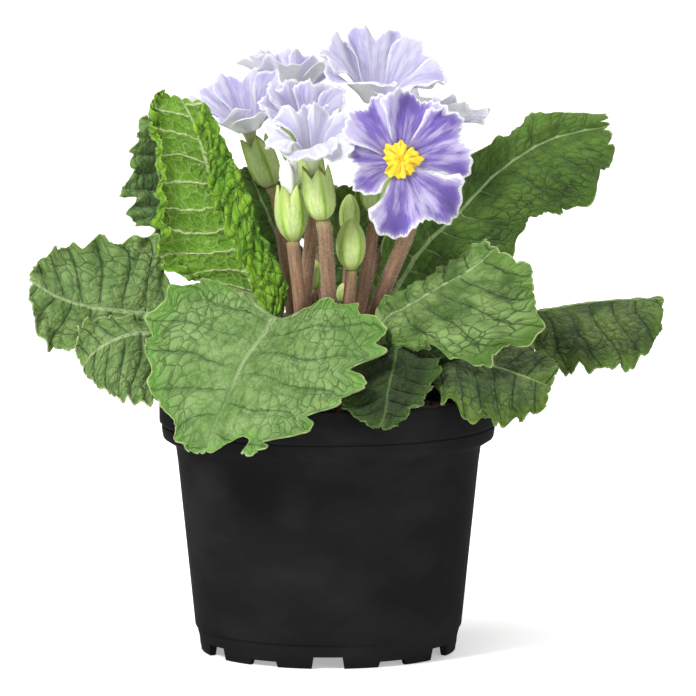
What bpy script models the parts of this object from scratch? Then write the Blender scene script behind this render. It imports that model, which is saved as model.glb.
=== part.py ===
"""Potted primrose: a nursery pot with soil, a leafy rosette, seven ruffled blooms and five buds."""

import math

import bmesh
import bpy
import numpy as np
from mathutils import Matrix, Vector

MM = 0.001

# Pot, in millimetres
POT_STEPS = 36
ROOTSTOCK_STEPS = 24
POT_PROFILE = (
    (0.0, 6.0), (45.2, 6.0), (46.4, 9.4), (53.2, 73.0), (57.6, 75.9),
    (58.5, 81.2), (59.0, 93.0), (60.3, 93.0), (60.2, 82.0), (59.7, 81.2), (58.9, 76.6),
    (54.5, 73.9), (53.6, 67.6), (50.7, 39.5), (47.6, 9.0), (46.8, 7.8), (46.1, 5.0), (45.6, 0.0),
    (43.2, 0.0), (42.8, 4.5), (7.6, 4.5), (6.5, 0.0), (0.0, 0.0),
)
FOOT_COUNT = 12
NOTCH_WIDTH = 11.8
NOTCH_RADIUS = 44.5
NOTCH_REACH = 7.0
DEEP_NOTCH = 4.2
SHALLOW_NOTCH = 2.0
NOTCH_TAPER = 0.86
DRAIN_COUNT = 4
DRAIN_RADIUS = 4.0
DRAIN_RING = 27.0
DRAIN_SPAN = (3.0, 7.5)
CUT_OVERRUN = 1.0
ROUND_SIDES = 8
SHARP_DEGREES = 38

# Soil and rootstock
SOIL_PROFILE = (
    (0.0, 77.9), (25.4, 77.9), (25.7, 84.4), (40.0, 85.0), (58.0, 83.0), (57.0, 76.2),
    (52.6, 73.2), (45.9, 9.8), (44.8, 6.4), (0.0, 6.4),
)
ROOTSTOCK_PROFILE = (
    (0.0, 86.4), (14.0, 86.2), (22.0, 85.4), (25.0, 83.6), (25.0, 78.3), (0.0, 78.3),
)
STAND_BASE = 81.0
HOLE_BASE = 80.6
HOLE_PLAY = 0.4
SLOT_PLAY = 0.45
HOLE_TOP = 89.0
STAND_HEIGHT = 6.5

# Leaves: thickness and edges
PETIOLE_HALF = 2.6
PETIOLE_THICK = 3.0
BLADE_EDGE = 0.24
STALK_EDGE = 0.42
RIB_SHARE = 0.75
RIB_WIDTH = 0.3
RIB_FADE = 0.65
MARGIN_CUT = 0.07
PUFF_HEIGHT = 2.2
STALK_ROWS = 4
ROW_CROWDING = 0.95
SIX_COLUMNS = (-1.0, -0.66, -0.22, 0.22, 0.66, 1.0)
EIGHT_COLUMNS = (-1.0, -0.74, -0.42, -0.13, 0.13, 0.42, 0.74, 1.0)

# Each leaf: where its stalk stands (degrees and distance from the middle), the points its stalk
# passes, then matching points along the midrib and the two margins.
LEAVES = {
    "leaf_front_left": {
        "slot": (240, 20.5), "seed": 3, "ruffle": 1.6, "waves": 5.0, "puff": (0.9, 0.9), "rows": 9,
        "stalk": ((-12, -20, 111),), "columns": EIGHT_COLUMNS,
        "rib": ((-18, -24, 121), (-23, -34, 116), (-30, -47, 108), (-35, -58, 98), (-40, -65, 88),
                (-42, -69, 80)),
        "left": ((-25, -20, 126), (-48, -18, 135), (-63, -32, 123), (-63, -49, 106),
                 (-57, -57, 87), (-49, -63, 80)),
        "right": ((-10, -24, 124), (8, -24, 128), (20, -40, 117), (12, -61, 103), (-4, -71, 90),
                  (-27, -74, 80)),
    },
    "leaf_left": {
        "slot": (182, 20.5), "seed": 5, "ruffle": 1.5, "waves": 5.0, "puff": (0.8, 0.8), "rows": 9,
        "stalk": ((-38, -2, 112),), "columns": EIGHT_COLUMNS,
        "rib": ((-57, -4, 119), (-73, -7, 122), (-85, -10, 124), (-96, -13, 128), (-105, -16, 134)),
        "left": ((-56, 3, 130), (-60, 5, 147), (-79, 3, 148), (-96, -4, 145), (-105, -11, 138)),
        "right": ((-58, -8, 113), (-70, -12, 112), (-85, -16, 111), (-99, -20, 110), (-105, -19, 126)),
    },
    "leaf_left_low": {
        "slot": (210, 20.5), "seed": 8, "ruffle": 1.4, "waves": 5.0, "puff": (0.5, 0.9), "rows": 7,
        "stalk": ((-34, -14, 105),), "columns": SIX_COLUMNS,
        "rib": ((-54, -17, 114), (-65, -23, 116), (-74, -29, 115), (-82, -35, 111), (-86, -39, 106)),
        "left": ((-56, -13, 119), (-68, -18, 122), (-79, -23, 122), (-87, -30, 121), (-89, -37, 112)),
        "right": ((-54, -28, 103), (-59, -42, 95), (-68, -47, 94), (-77, -46, 98), (-83, -42, 102)),
    },
    "leaf_back_left_up": {
        "slot": (155, 20.5), "seed": 9, "ruffle": 1.8, "waves": 5.0, "puff": (0.6, 0.6), "rows": 7,
        "stalk": ((-29, 17, 122),), "columns": SIX_COLUMNS,
        "rib": ((-42, 18, 137), (-53, 20, 150), (-60, 22, 164), (-62, 23, 177), (-60, 23, 191)),
        "left": ((-46, 15, 135), (-65, 16, 145), (-74, 17, 157), (-72, 18, 172), (-67, 20, 189)),
        "right": ((-38, 20, 139), (-43, 24, 153), (-49, 26, 166), (-53, 26, 178), (-55, 24, 192)),
    },
    "leaf_bright_left": {
        "slot": (212, 13.0), "seed": 11, "ruffle": 0.7, "waves": 6.0, "puff": (-0.6, 1.2), "rows": 9,
        "stalk": ((-18, -8, 115),), "columns": EIGHT_COLUMNS,
        "rib": ((-24, -5, 127), (-30, -4, 141), (-36, -4, 156), (-42, -4, 172), (-47, -5, 188),
                (-52, -5, 198)),
        "left": ((-36, -6, 129), (-52, -6, 137), (-61, -6, 151), (-60, -6, 171), (-63, -6, 190),
                 (-60, -5, 200)),
        "right": ((-18, -4, 125), (-17, -4, 134), (-24, -5, 150), (-28, -6, 167), (-36, -7, 183),
                  (-43, -6, 197)),
    },
    "leaf_right_up": {
        "slot": (28, 20.5), "seed": 13, "ruffle": 1.8, "waves": 4.0, "puff": (0.8, 1.2), "rows": 9,
        "stalk": ((19, 13, 117),), "columns": EIGHT_COLUMNS,
        "rib": ((22, 13, 124), (33, 17, 141), (47, 19, 155), (61, 21, 169), (79, 25, 180),
                (101, 27, 185)),
        "left": ((15, 8, 127), (22, 11, 150), (42, 18, 168), (58, 22, 180), (74, 26, 190),
                 (100, 29, 189)),
        "right": ((32, 12, 120), (51, 10, 125), (67, 12, 139), (78, 16, 153), (92, 20, 156),
                  (103, 25, 175)),
    },
    "leaf_right_front": {
        "slot": (314, 20.5), "seed": 15, "ruffle": 1.5, "waves": 4.0, "puff": (0.8, 1.0), "rows": 9,
        "stalk": ((18, -22, 108),), "columns": EIGHT_COLUMNS,
        "rib": ((20, -24, 120), (29, -30, 127), (39, -36, 134), (50, -41, 141), (59, -44, 149)),
        "left": ((17, -19, 125), (25, -22, 131), (34, -26, 136), (45, -31, 144), (55, -40, 152)),
        "right": ((21, -30, 115), (35, -44, 114), (55, -57, 109), (74, -57, 120), (70, -50, 144)),
    },
    "leaf_right": {
        "slot": (4, 20.5), "seed": 17, "ruffle": 1.6, "waves": 5.0, "puff": (0.5, 0.9), "rows": 8,
        "stalk": ((46, -4, 110),), "columns": SIX_COLUMNS,
        "rib": ((68, -9, 120), (83, -11, 124), (96, -12, 126), (110, -12, 127), (119, -12, 127)),
        "left": ((69, -2, 119), (83, 5, 118), (96, 9, 119), (109, 8, 121), (118, -3, 125)),
        "right": ((68, -16, 114), (79, -28, 103), (93, -34, 105), (107, -33, 105), (118, -20, 117)),
    },
    "leaf_right_low": {
        "slot": (338, 20.5), "seed": 19, "ruffle": 1.4, "waves": 5.0, "puff": (0.8, 0.8), "rows": 9,
        "stalk": ((29, -20, 101),), "columns": EIGHT_COLUMNS,
        "rib": ((38, -28, 104), (48, -38, 108), (59, -47, 107), (70, -53, 104), (78, -56, 101)),
        "left": ((41, -22, 107), (53, -27, 112), (66, -32, 114), (76, -40, 112), (81, -50, 107)),
        "right": ((36, -36, 101), (41, -57, 94), (53, -64, 88), (64, -65, 89), (76, -61, 95)),
    },
    "leaf_front_low": {
        "slot": (288, 20.5), "seed": 21, "ruffle": 1.3, "waves": 4.0, "puff": (0.7, 0.7), "rows": 8,
        "stalk": ((18, -26, 101),), "columns": SIX_COLUMNS,
        "rib": ((24, -32, 111), (23, -43, 106), (21, -53, 100), (20, -63, 94), (18, -69, 89)),
        "left": ((15, -32, 110), (6, -43, 104), (3, -54, 99), (6, -62, 94), (14, -70, 90)),
        "right": ((31, -34, 110), (36, -43, 106), (36, -52, 100), (31, -62, 95), (23, -69, 89)),
    },
    "leaf_behind_stems": {
        "slot": (140, 13.0), "seed": 23, "ruffle": 1.0, "waves": 4.0, "puff": (0.5, 0.5), "rows": 6,
        "stalk": ((-10, 12, 108),), "columns": SIX_COLUMNS,
        "rib": ((-12, 16, 124), (-16, 20, 138), (-21, 25, 151), (-26, 29, 162), (-29, 31, 170)),
        "left": ((-16, 14, 124), (-23, 18, 137), (-29, 23, 150), (-32, 28, 162), (-32, 30, 169)),
        "right": ((-8, 16.5, 122), (-8.5, 23.5, 139), (-12, 29, 154), (-18, 32, 166), (-25, 32, 172)),
    },
    "leaf_back_centre": {
        "slot": (75, 13.0), "seed": 26, "ruffle": 1.0, "waves": 4.0, "puff": (0.5, 0.5), "rows": 5,
        "stalk": ((5, 17, 108),), "columns": SIX_COLUMNS,
        "rib": ((7, 21, 125), (8, 26, 137), (9, 29.5, 150), (10, 32, 163)),
        "left": ((-4, 20, 119), (-9, 26, 136), (-8, 31, 151), (2, 33, 163)),
        "right": ((15, 20.5, 120), (26, 28, 136), (28, 31, 151), (18, 32, 163)),
    },
    "leaf_back_low_left": {
        "slot": (122, 20.5), "seed": 27, "ruffle": 1.8, "waves": 4.0, "puff": (0.9, 0.9), "rows": 6,
        "stalk": ((-17, 27, 98),), "columns": SIX_COLUMNS,
        "rib": ((-23, 35, 105), (-32, 48, 109), (-42, 60, 106), (-51, 72, 97), (-56, 79, 88)),
        "left": ((-27, 33, 105), (-47, 39, 111), (-62, 52, 106), (-66, 68, 94), (-61, 77, 87)),
        "right": ((-19, 37, 105), (-19, 57, 109), (-27, 75, 101), (-39, 84, 90), (-50, 82, 86)),
    },
    "leaf_back_low": {
        "slot": (88, 20.5), "seed": 29, "ruffle": 1.8, "waves": 4.0, "puff": (0.9, 0.9), "rows": 6,
        "stalk": ((1, 31, 98),), "columns": SIX_COLUMNS,
        "rib": ((2, 39, 106), (4, 56, 110), (5, 72, 105), (6, 84, 94), (7, 90, 85)),
        "left": ((-3, 38, 106), (-15, 54, 113), (-17, 73, 106), (-9, 87, 93), (2, 92, 84)),
        "right": ((7, 38, 106), (22, 54, 112), (26, 71, 105), (20, 86, 93), (12, 92, 84)),
    },
    "leaf_back_low_right": {
        "slot": (56, 20.5), "seed": 31, "ruffle": 1.8, "waves": 4.0, "puff": (0.9, 0.9), "rows": 6,
        "stalk": ((18, 26, 98),), "columns": SIX_COLUMNS,
        "rib": ((26, 34, 106), (37, 45, 109), (49, 56, 106), (60, 67, 97), (66, 74, 88)),
        "left": ((23, 37, 106), (30, 58, 110), (38, 74, 103), (51, 80, 92), (62, 79, 86)),
        "right": ((30, 30, 106), (52, 33, 110), (69, 45, 105), (75, 60, 94), (70, 70, 87)),
    },
}

# Blooms: middle of the flower, way it faces, way its tube points, reach of the petals, slope of
# the petals at the throat, then at the edge on the far side and on the near side.
# Each petal: direction in degrees, reach, half spread in degrees, rise of its outer edge.
OPEN_PETALS = ((20, 0.98, 41, 0.6), (68, 1.0, 42, -0.6), (121, 0.96, 40, -1.4), (190, 0.73, 46, 2.6),
               (289, 1.04, 53, -0.8))
CUP_PETALS = ((18, 0.98, 50, 0.6), (90, 1.02, 50, 1.2), (162, 1.0, 50, 0.4), (234, 0.94, 50, 1.2),
              (306, 1.04, 50, -0.4))
BLOOMS = {
    "front": {"eye": (25.4, -41, 179), "face": (0.10, -0.92, 0.30), "tube": (-0.10, -0.62, 0.77),
              "reach": 26.5, "cup": 14, "far": -6, "near": -6, "turn": 0, "petals": OPEN_PETALS,
              "seed": 1, "eye_reach": 7.4, "foot": (8.6, -3.4), "past": ((15.8, -8, 119),),
              "thick": 2.1, "length": 26},
    "top_right": {"eye": (17, 11, 195), "face": (0.10, -0.20, 0.97),
                  "tube": (0.02, -0.08, 0.99), "reach": 30.5, "cup": 60, "far": 60, "near": -8,
                  "turn": 8, "petals": CUP_PETALS, "seed": 2, "eye_reach": 4.6, "foot": (4.2, 3.2),
                  "past": ((11.5, 3.5, 124),), "thick": 1.9, "length": 40},
    "middle": {"eye": (-9, -7, 188), "face": (-0.06, -0.28, 0.95), "tube": (-0.12, -0.04, 0.99),
               "reach": 20, "cup": 60, "far": 58, "near": 2, "turn": 40, "petals": CUP_PETALS,
               "seed": 3, "eye_reach": 4.4, "foot": (-4.4, 0.8), "past": ((-8.6, -1.0, 118),),
               "thick": 1.9, "length": 25},
    "left": {"eye": (-28.5, 18, 184.5), "face": (-0.22, -0.16, 0.95), "tube": (-0.36, 0.02, 0.92),
             "reach": 26, "cup": 56, "far": 50, "near": -4, "turn": -4, "petals": CUP_PETALS,
             "seed": 4, "eye_reach": 4.4, "foot": (-8.6, 2.6), "past": ((-13.0, 7.0, 122),),
             "thick": 1.9, "length": 22},
    "front_low": {"eye": (-5.5, -30.5, 179), "face": (-0.06, -0.16, 0.98),
                  "tube": (-0.16, -0.10, 0.98), "reach": 22, "cup": 76, "far": 66, "near": -60,
                  "turn": 30, "petals": CUP_PETALS, "seed": 5, "eye_reach": 4.0,
                  "foot": (-2.0, -6.2), "past": ((0.4, -15.0, 120),), "thick": 2.2, "length": 22.5},
    "behind": {"eye": (-13, 40, 194), "face": (0.00, 0.10, 0.99), "tube": (-0.04, 0.16, 0.98),
               "reach": 25, "cup": 60, "far": 50, "near": 20, "turn": 30, "petals": CUP_PETALS,
               "seed": 6, "eye_reach": 4.4, "foot": (-0.6, 8.2), "past": ((-1.0, 14.0, 122),),
               "thick": 1.8, "length": 25},
    "back_right": {"eye": (37.5, 28, 186), "face": (0.28, 0.18, 0.94), "tube": (0.30, 0.18, 0.93),
                   "reach": 20.5, "cup": 44, "far": 38, "near": 2, "turn": 14,
                   "petals": CUP_PETALS, "seed": 7, "eye_reach": 4.4, "foot": (9.4, 2.4),
                   "past": ((14.0, 14.0, 119), (20.0, 20.5, 140)), "thick": 1.8, "length": 24},
}
LAYER_STEP = 2.0
LAYER_LEAN = 0.1
RUFFLE = 1.7
RUFFLE_WAVES = ((7, 1.0), (12, 0.5), (3, 0.8))
PETAL_FOOT = 2.2
PETAL_FOOT_SPREAD = 42
PETAL_NOTCH = 0.13
PETAL_ROUND = 0.2
PETAL_THICK = 0.75
FINE_CUP = 20
ARC_SHARES = (0.1, 0.3, 0.5, 0.7, 0.9)
THROAT_RADIUS = 3.2
THROAT_SPAN = (-0.5, 0.4)
TUBE_RADIUS = 1.7
TUBE_SEAT = 4.5
TUBE_OUT = 5.0
STAR_TURN = 8
STAR_WAIST = 0.8
STAR_LOW = 0.35 + 0.45
STAR_RINGS = ((0.35, 0.0), (0.94, 0.15), (1.0, 0.8), (0.45, 1.7))

# Calyx: sides, ribs, and its outer and inner outline as radius and share of its length
RING_SIDES = 10
RIB_OUT = 1.07
RIB_IN = 0.93
CALYX_LENGTH = 19.0
CALYX_TOOTH = 0.8
CALYX_LIFT = 0.3
CALYX_OUTER = ((1.9, 0.0), (4.0, 0.12), (5.4, 0.4), (5.3, 0.68), (6.0, 1.0))
CALYX_INNER = ((5.1, 1.0), (4.2, 0.5), (2.3, 0.2))
STEM_LEAD = 7.0
BUD_LEAD = 4.0
BUD_TURN = 20
OPEN_BUD = ((0.72, 0.14), (1.0, 0.45), (0.9, 0.78), (0.74, 1.0), (0.6, 1.0), (0.74, 0.75),
            (0.8, 0.5), (0.4, 0.22))
SHUT_BUD = ((0.75, 0.14), (1.0, 0.42), (0.86, 0.72), (0.42, 0.93), (0.10, 1.0))
FURLED_TIP = ((0.22, 0.36), (0.42, 0.6), (0.46, 0.85), (0.5, 1.08), (0.34, 1.28), (0.08, 1.4))
TIP_SIDES = 8
TIP_WAIST = 0.86

# Buds: foot, point passed on the way up, base and tip of the bud, half width, stem half width
BUDS = {
    "front": {"foot": (-7.6, -4.6), "past": ((-9.6, -13, 122),), "base": (-12.2, -17, 148),
              "tip": (-13.6, -17.5, 168), "wide": 6.0, "thick": 2.0},
    "middle": {"foot": (3.4, -7.6), "past": ((6.6, -15, 118),), "base": (8.0, -19, 138),
               "tip": (8.2, -19.5, 156), "wide": 5.3, "thick": 1.8},
    "small": {"foot": (-3.6, 5.8), "past": ((-4.4, 5.2, 112),), "base": (-5.2, 3.8, 128),
              "tip": (-5.0, 3.6, 139), "wide": 3.3, "thick": 1.1},
    "tiny": {"foot": (1.0, -1.6), "past": ((4.2, -6.0, 112),), "base": (5.0, -9.0, 125),
             "tip": (5.2, -9.4, 132), "wide": 2.2, "thick": 1.0},
    "dark": {"foot": (0.2, 3.8), "past": ((5.0, 11.0, 118),), "base": (7.6, 16.0, 146),
             "tip": (7.6, 16.6, 161), "wide": 3.8, "thick": 1.3},
}

COLOURS = {
    "pot": (0.020, 0.020, 0.021), "soil": (0.022, 0.013, 0.009), "rootstock": (0.050, 0.034, 0.018),
    "leaf": (0.130, 0.270, 0.075), "leaf_dark": (0.060, 0.140, 0.030),
    "leaf_bright": (0.220, 0.420, 0.070), "petals": (0.440, 0.360, 0.780),
    "eye": (0.850, 0.600, 0.050), "calyx": (0.330, 0.500, 0.090), "stem": (0.200, 0.130, 0.070),
    "bud_tip": (0.800, 0.820, 0.740),
}
DARK_LEAVES = ("leaf_back_left_up", "leaf_front_low", "leaf_behind_stems", "leaf_right_up",
               "leaf_back_centre", "leaf_right")


def start_clean():
    for thing in list(bpy.data.objects):
        bpy.data.objects.remove(thing, do_unlink=True)
    for group in list(bpy.data.collections):
        bpy.data.collections.remove(group)


def new_collection(name):
    group = bpy.data.collections.new(name)
    bpy.context.scene.collection.children.link(group)
    return group


def new_material(name, colour, roughness):
    made = bpy.data.materials.new(name)
    made.use_nodes = True
    shader = made.node_tree.nodes["Principled BSDF"]
    shader.inputs["Base Color"].default_value = (*colour, 1.0)
    shader.inputs["Roughness"].default_value = roughness
    return made


def place(name, data, material, group):
    thing = bpy.data.objects.new(name, data)
    group.objects.link(thing)
    if material is not None:
        thing.data.materials.clear()
        thing.data.materials.append(material)
    return thing


def as_mesh(source, name, material, group):
    """The finished shape of an object as a plain mesh object of its own."""
    bpy.context.view_layer.update()
    graph = bpy.context.evaluated_depsgraph_get()
    data = bpy.data.meshes.new_from_object(source.evaluated_get(graph))
    data.transform(source.matrix_world)
    shape = bmesh.new()
    shape.from_mesh(data)
    bmesh.ops.remove_doubles(shape, verts=shape.verts, dist=0.000001)
    bmesh.ops.recalc_face_normals(shape, faces=shape.faces)
    shape.to_mesh(data)
    shape.free()
    bpy.data.objects.remove(source, do_unlink=True)
    return place(name, data, material, group)


def smooth(thing):
    """Round surfaces shade smooth and true corners stay sharp."""
    thing.data.polygons.foreach_set("use_smooth", [True] * len(thing.data.polygons))
    thing.data.set_sharp_from_angle(angle=math.radians(SHARP_DEGREES))
    return thing


def unit(vector):
    vector = np.asarray(vector, float)
    return vector / np.maximum(np.linalg.norm(vector, axis=-1, keepdims=True), 1e-9)


def smooth_at(points, stations):
    """Points of the smooth line through the given points, at the given station numbers."""
    points = np.array(points, float)
    ends = np.vstack([2 * points[0] - points[1], points, 2 * points[-1] - points[-2]])
    stations = np.asarray(stations, float)
    index = np.clip(np.floor(stations).astype(int), 0, len(points) - 2)
    part = (stations - index)[:, None]
    a, b, c, d = ends[index], ends[index + 1], ends[index + 2], ends[index + 3]
    return 0.5 * (2 * b + (c - a) * part + (2 * a - 5 * b + 4 * c - d) * part ** 2
                  + (3 * b - a - 3 * c + d) * part ** 3)


def turned(name, profile, steps, material, group):
    data = bpy.data.meshes.new(name)
    points = [(radius * MM, 0.0, height * MM) for radius, height in profile]
    edges = [(i, i + 1) for i in range(len(points) - 1)]
    data.from_pydata(points, edges, [])
    thing = place(name, data, material, group)
    screw = thing.modifiers.new("turn", "SCREW")
    screw.axis = "Z"
    screw.steps = steps
    screw.render_steps = steps
    screw.use_merge_vertices = True
    screw.merge_threshold = 0.0001
    screw.use_smooth_shade = True
    return thing


def cut(target, cutter):
    step = target.modifiers.new("cut", "BOOLEAN")
    step.operation = "DIFFERENCE"
    step.object = cutter
    step.solver = "EXACT"


def foot_notch(name, angle, height, group):
    """One gap between two feet, with walls that slope in towards its top."""
    shape = bmesh.new()
    bmesh.ops.create_cube(shape, size=1.0)
    tall = height + CUT_OVERRUN
    for corner in shape.verts:
        narrow = NOTCH_TAPER if corner.co.z > 0 else 1.0
        corner.co.x *= NOTCH_REACH
        corner.co.y *= NOTCH_WIDTH * narrow
        corner.co.z = corner.co.z * tall + tall * 0.5 - CUT_OVERRUN
        corner.co.x += NOTCH_RADIUS
    bmesh.ops.scale(shape, vec=(MM, MM, MM), verts=shape.verts)
    bmesh.ops.rotate(shape, cent=(0, 0, 0), matrix=Matrix.Rotation(angle, 3, "Z"), verts=shape.verts)
    data = bpy.data.meshes.new(name)
    shape.to_mesh(data)
    shape.free()
    return place(name, data, None, group)


def round_cutter(name, centre, low, high, half, across, angle, group):
    """A plain upright cutter, round or oval in plan."""
    shape = bmesh.new()
    bmesh.ops.create_cone(shape, cap_ends=True, segments=ROUND_SIDES, radius1=1.0, radius2=1.0,
                          depth=1.0)
    bmesh.ops.scale(shape, vec=(half, across, high - low), verts=shape.verts)
    bmesh.ops.rotate(shape, cent=(0, 0, 0), matrix=Matrix.Rotation(angle, 3, "Z"), verts=shape.verts)
    bmesh.ops.translate(shape, vec=(centre[0], centre[1], (low + high) / 2), verts=shape.verts)
    bmesh.ops.scale(shape, vec=(MM, MM, MM), verts=shape.verts)
    data = bpy.data.meshes.new(name)
    shape.to_mesh(data)
    shape.free()
    return place(name, data, None, group)


def make_pot(parts, cutters):
    pot = turned("pot", POT_PROFILE, POT_STEPS, new_material("pot", COLOURS["pot"], 0.45), parts)
    for number in range(FOOT_COUNT):
        angle = math.radians(-90 + 360 / FOOT_COUNT * number)
        height = DEEP_NOTCH if number % 2 == 0 else SHALLOW_NOTCH
        cut(pot, foot_notch(f"notch_{number}", angle, height, cutters))
    for number in range(DRAIN_COUNT):
        angle = math.radians(45 + 360 / DRAIN_COUNT * number)
        centre = (DRAIN_RING * math.cos(angle), DRAIN_RING * math.sin(angle))
        cut(pot, round_cutter(f"drain_{number}", centre, *DRAIN_SPAN, DRAIN_RADIUS, DRAIN_RADIUS,
                              0.0, cutters))
    return pot


def slot_centre(leaf):
    angle = math.radians(leaf["slot"][0])
    return leaf["slot"][1] * math.cos(angle), leaf["slot"][1] * math.sin(angle), angle


def make_rootstock(parts, cutters):
    stock = turned("rootstock", ROOTSTOCK_PROFILE, ROOTSTOCK_STEPS,
                   new_material("rootstock", COLOURS["rootstock"], 0.9), parts)
    for name, leaf in LEAVES.items():
        x, y, angle = slot_centre(leaf)
        cut(stock, round_cutter(f"{name}_hole", (x, y), HOLE_BASE, HOLE_TOP,
                                PETIOLE_THICK / 2 + SLOT_PLAY, PETIOLE_HALF + SLOT_PLAY, angle,
                                cutters))
    for kind, group in (("bloom", BLOOMS), ("bud", BUDS)):
        for name, stem in group.items():
            wide = stem["thick"] + HOLE_PLAY
            cut(stock, round_cutter(f"{kind}_{name}_hole", stem["foot"], HOLE_BASE, HOLE_TOP, wide,
                                    wide, 0.0, cutters))
    return stock


def leaf_rails(leaf):
    """Matching midrib and margin points from the foot of the stalk to the tip of the blade."""
    x, y, angle = slot_centre(leaf)
    foot = np.array([x, y, STAND_BASE])
    raised = foot + (0, 0, STAND_HEIGHT)
    stalk = [foot, raised] + [np.array(point, float) for point in leaf["stalk"]]
    rib = [np.array(point, float) for point in leaf["rib"]]
    left = [np.array(point, float) for point in leaf["left"]]
    right = [np.array(point, float) for point in leaf["right"]]
    across_end = unit(right[0] - left[0])
    across_foot = np.array([-math.sin(angle), math.cos(angle), 0.0])
    if across_foot @ across_end < 0:
        across_foot = -across_foot
    count = len(stalk)
    lows, highs = [], []
    for number, point in enumerate(stalk):
        share = max(0.0, (number - 1) / (count - 1))
        across = unit(across_foot * (1 - share) + across_end * share)
        lows.append(point - across * PETIOLE_HALF)
        highs.append(point + across * PETIOLE_HALF)
    return stalk + rib, lows + left, highs + right, count


def leaf_surface(leaf, rows, columns):
    """Grid of points over the leaf, with how far along and across each one lies."""
    middle, left, right, start = leaf_rails(leaf)
    stations = np.asarray(rows, float)
    rib = smooth_at(middle, stations)
    low = smooth_at(left, stations)
    high = smooth_at(right, stations)
    along = unit(np.gradient(rib, axis=0))
    normal = unit(np.cross(high - low, along))
    blade = np.clip((stations - start) / (len(middle) - 1 - start), 0, 1)
    full = np.clip((stations - start + 0.6) / 1.2, 0, 1)
    phases = np.random.default_rng(leaf["seed"]).uniform(0, 2 * math.pi, 8)
    grid = np.zeros((len(stations), len(columns), 3))
    for number, across in enumerate(columns):
        side = 0 if across < 0 else 1
        edge = low if across < 0 else high
        far = abs(across)
        turn = 2 * math.pi * leaf["waves"] * blade
        wave = np.sin(turn + phases[side]) + 0.4 * np.sin(1.9 * turn + phases[side + 2])
        teeth = np.sin(1.6 * turn + phases[side + 4])
        reach = far * (1 + MARGIN_CUT * teeth * far ** 3 * full)
        lift = leaf["ruffle"] * wave * far ** 2.2 * full
        puff = leaf["puff"][side] * math.sin(math.pi * far) * PUFF_HEIGHT * full
        grid[:, number] = (rib + (edge - rib) * reach[:, None] + normal * (lift + puff)[:, None])
    return grid, blade, full


def make_leaf(name, leaf, material, group):
    middle, _, _, start = leaf_rails(leaf)
    last = len(middle) - 1
    rows = [0.0] + list(np.linspace(1, start, STALK_ROWS))
    rows += list(start + (last - start) * np.linspace(0, 1, leaf["rows"] + 1) ** ROW_CROWDING)[1:]
    columns = leaf["columns"]
    grid, blade, full = leaf_surface(leaf, rows, columns)
    shape = bmesh.new()
    weights = shape.verts.layers.deform.verify()
    bmesh.ops.create_grid(shape, x_segments=len(columns) - 1, y_segments=len(rows) - 1, size=1.0)
    for corner in shape.verts:
        j = round((corner.co.x + 1) / 2 * (len(columns) - 1))
        i = round((corner.co.y + 1) / 2 * (len(rows) - 1))
        far = abs(columns[j])
        rib_thick = (1 - RIB_FADE * blade[i]) * math.exp(-(far / RIB_WIDTH) ** 2) * RIB_SHARE
        stalk_weight = STALK_EDGE + (1 - STALK_EDGE) * (1 - far ** 2)
        blade_weight = BLADE_EDGE + (1 - BLADE_EDGE) * rib_thick
        corner[weights][0] = stalk_weight * (1 - full[i]) + blade_weight * full[i]
        corner.co = Vector(grid[i, j] * MM)
    bmesh.ops.triangulate(shape, faces=shape.faces)
    data = bpy.data.meshes.new(name)
    shape.to_mesh(data)
    shape.free()
    thing = smooth(place(name, data, material, group))
    thing.vertex_groups.new(name="thickness")
    solid = thing.modifiers.new("thickness", "SOLIDIFY")
    solid.thickness = PETIOLE_THICK * MM
    solid.offset = 0.0
    solid.vertex_group = "thickness"
    solid.thickness_vertex_group = 0.0
    solid.use_even_offset = False
    return thing


def loft(name, rings, material, group):
    """A closed body through a run of matching rings, shut at both ends."""
    shape = bmesh.new()
    made = [[shape.verts.new(Vector(point) * MM) for point in ring] for ring in rings]
    count = len(made[0])
    for below, above in zip(made[:-1], made[1:]):
        for i in range(count):
            j = (i + 1) % count
            shape.faces.new((below[i], below[j], above[j], above[i]))
    shape.faces.new(list(reversed(made[0])))
    shape.faces.new(made[-1])
    bmesh.ops.recalc_face_normals(shape, faces=shape.faces)
    bmesh.ops.triangulate(shape, faces=shape.faces)
    data = bpy.data.meshes.new(name)
    shape.to_mesh(data)
    shape.free()
    return smooth(place(name, data, material, group))


def ring_points(radius, height, sides, axes, middle):
    """One ring of points round the third axis; radius and height may differ from point to point."""
    turns = np.arange(sides) * 2 * math.pi / sides
    ring = np.stack([radius * np.cos(turns), radius * np.sin(turns), turns * 0 + height], 1)
    return ring @ axes.T + middle


def ribs(sides):
    return np.where(np.arange(sides) % 2 == 0, RIB_OUT, RIB_IN)


def frame_of(direction, turn):
    """Three square axes, the third along the given direction."""
    forward = unit(direction)
    up = np.array([0.0, 0.0, 1.0]) if abs(forward[2]) < 0.9 else np.array([0.0, 1.0, 0.0])
    side = unit(np.cross(up, forward))
    top = np.cross(forward, side)
    angle = math.radians(turn)
    first = side * math.cos(angle) + top * math.sin(angle)
    second = -side * math.sin(angle) + top * math.cos(angle)
    return np.stack([first, second, forward], 1)


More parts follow.
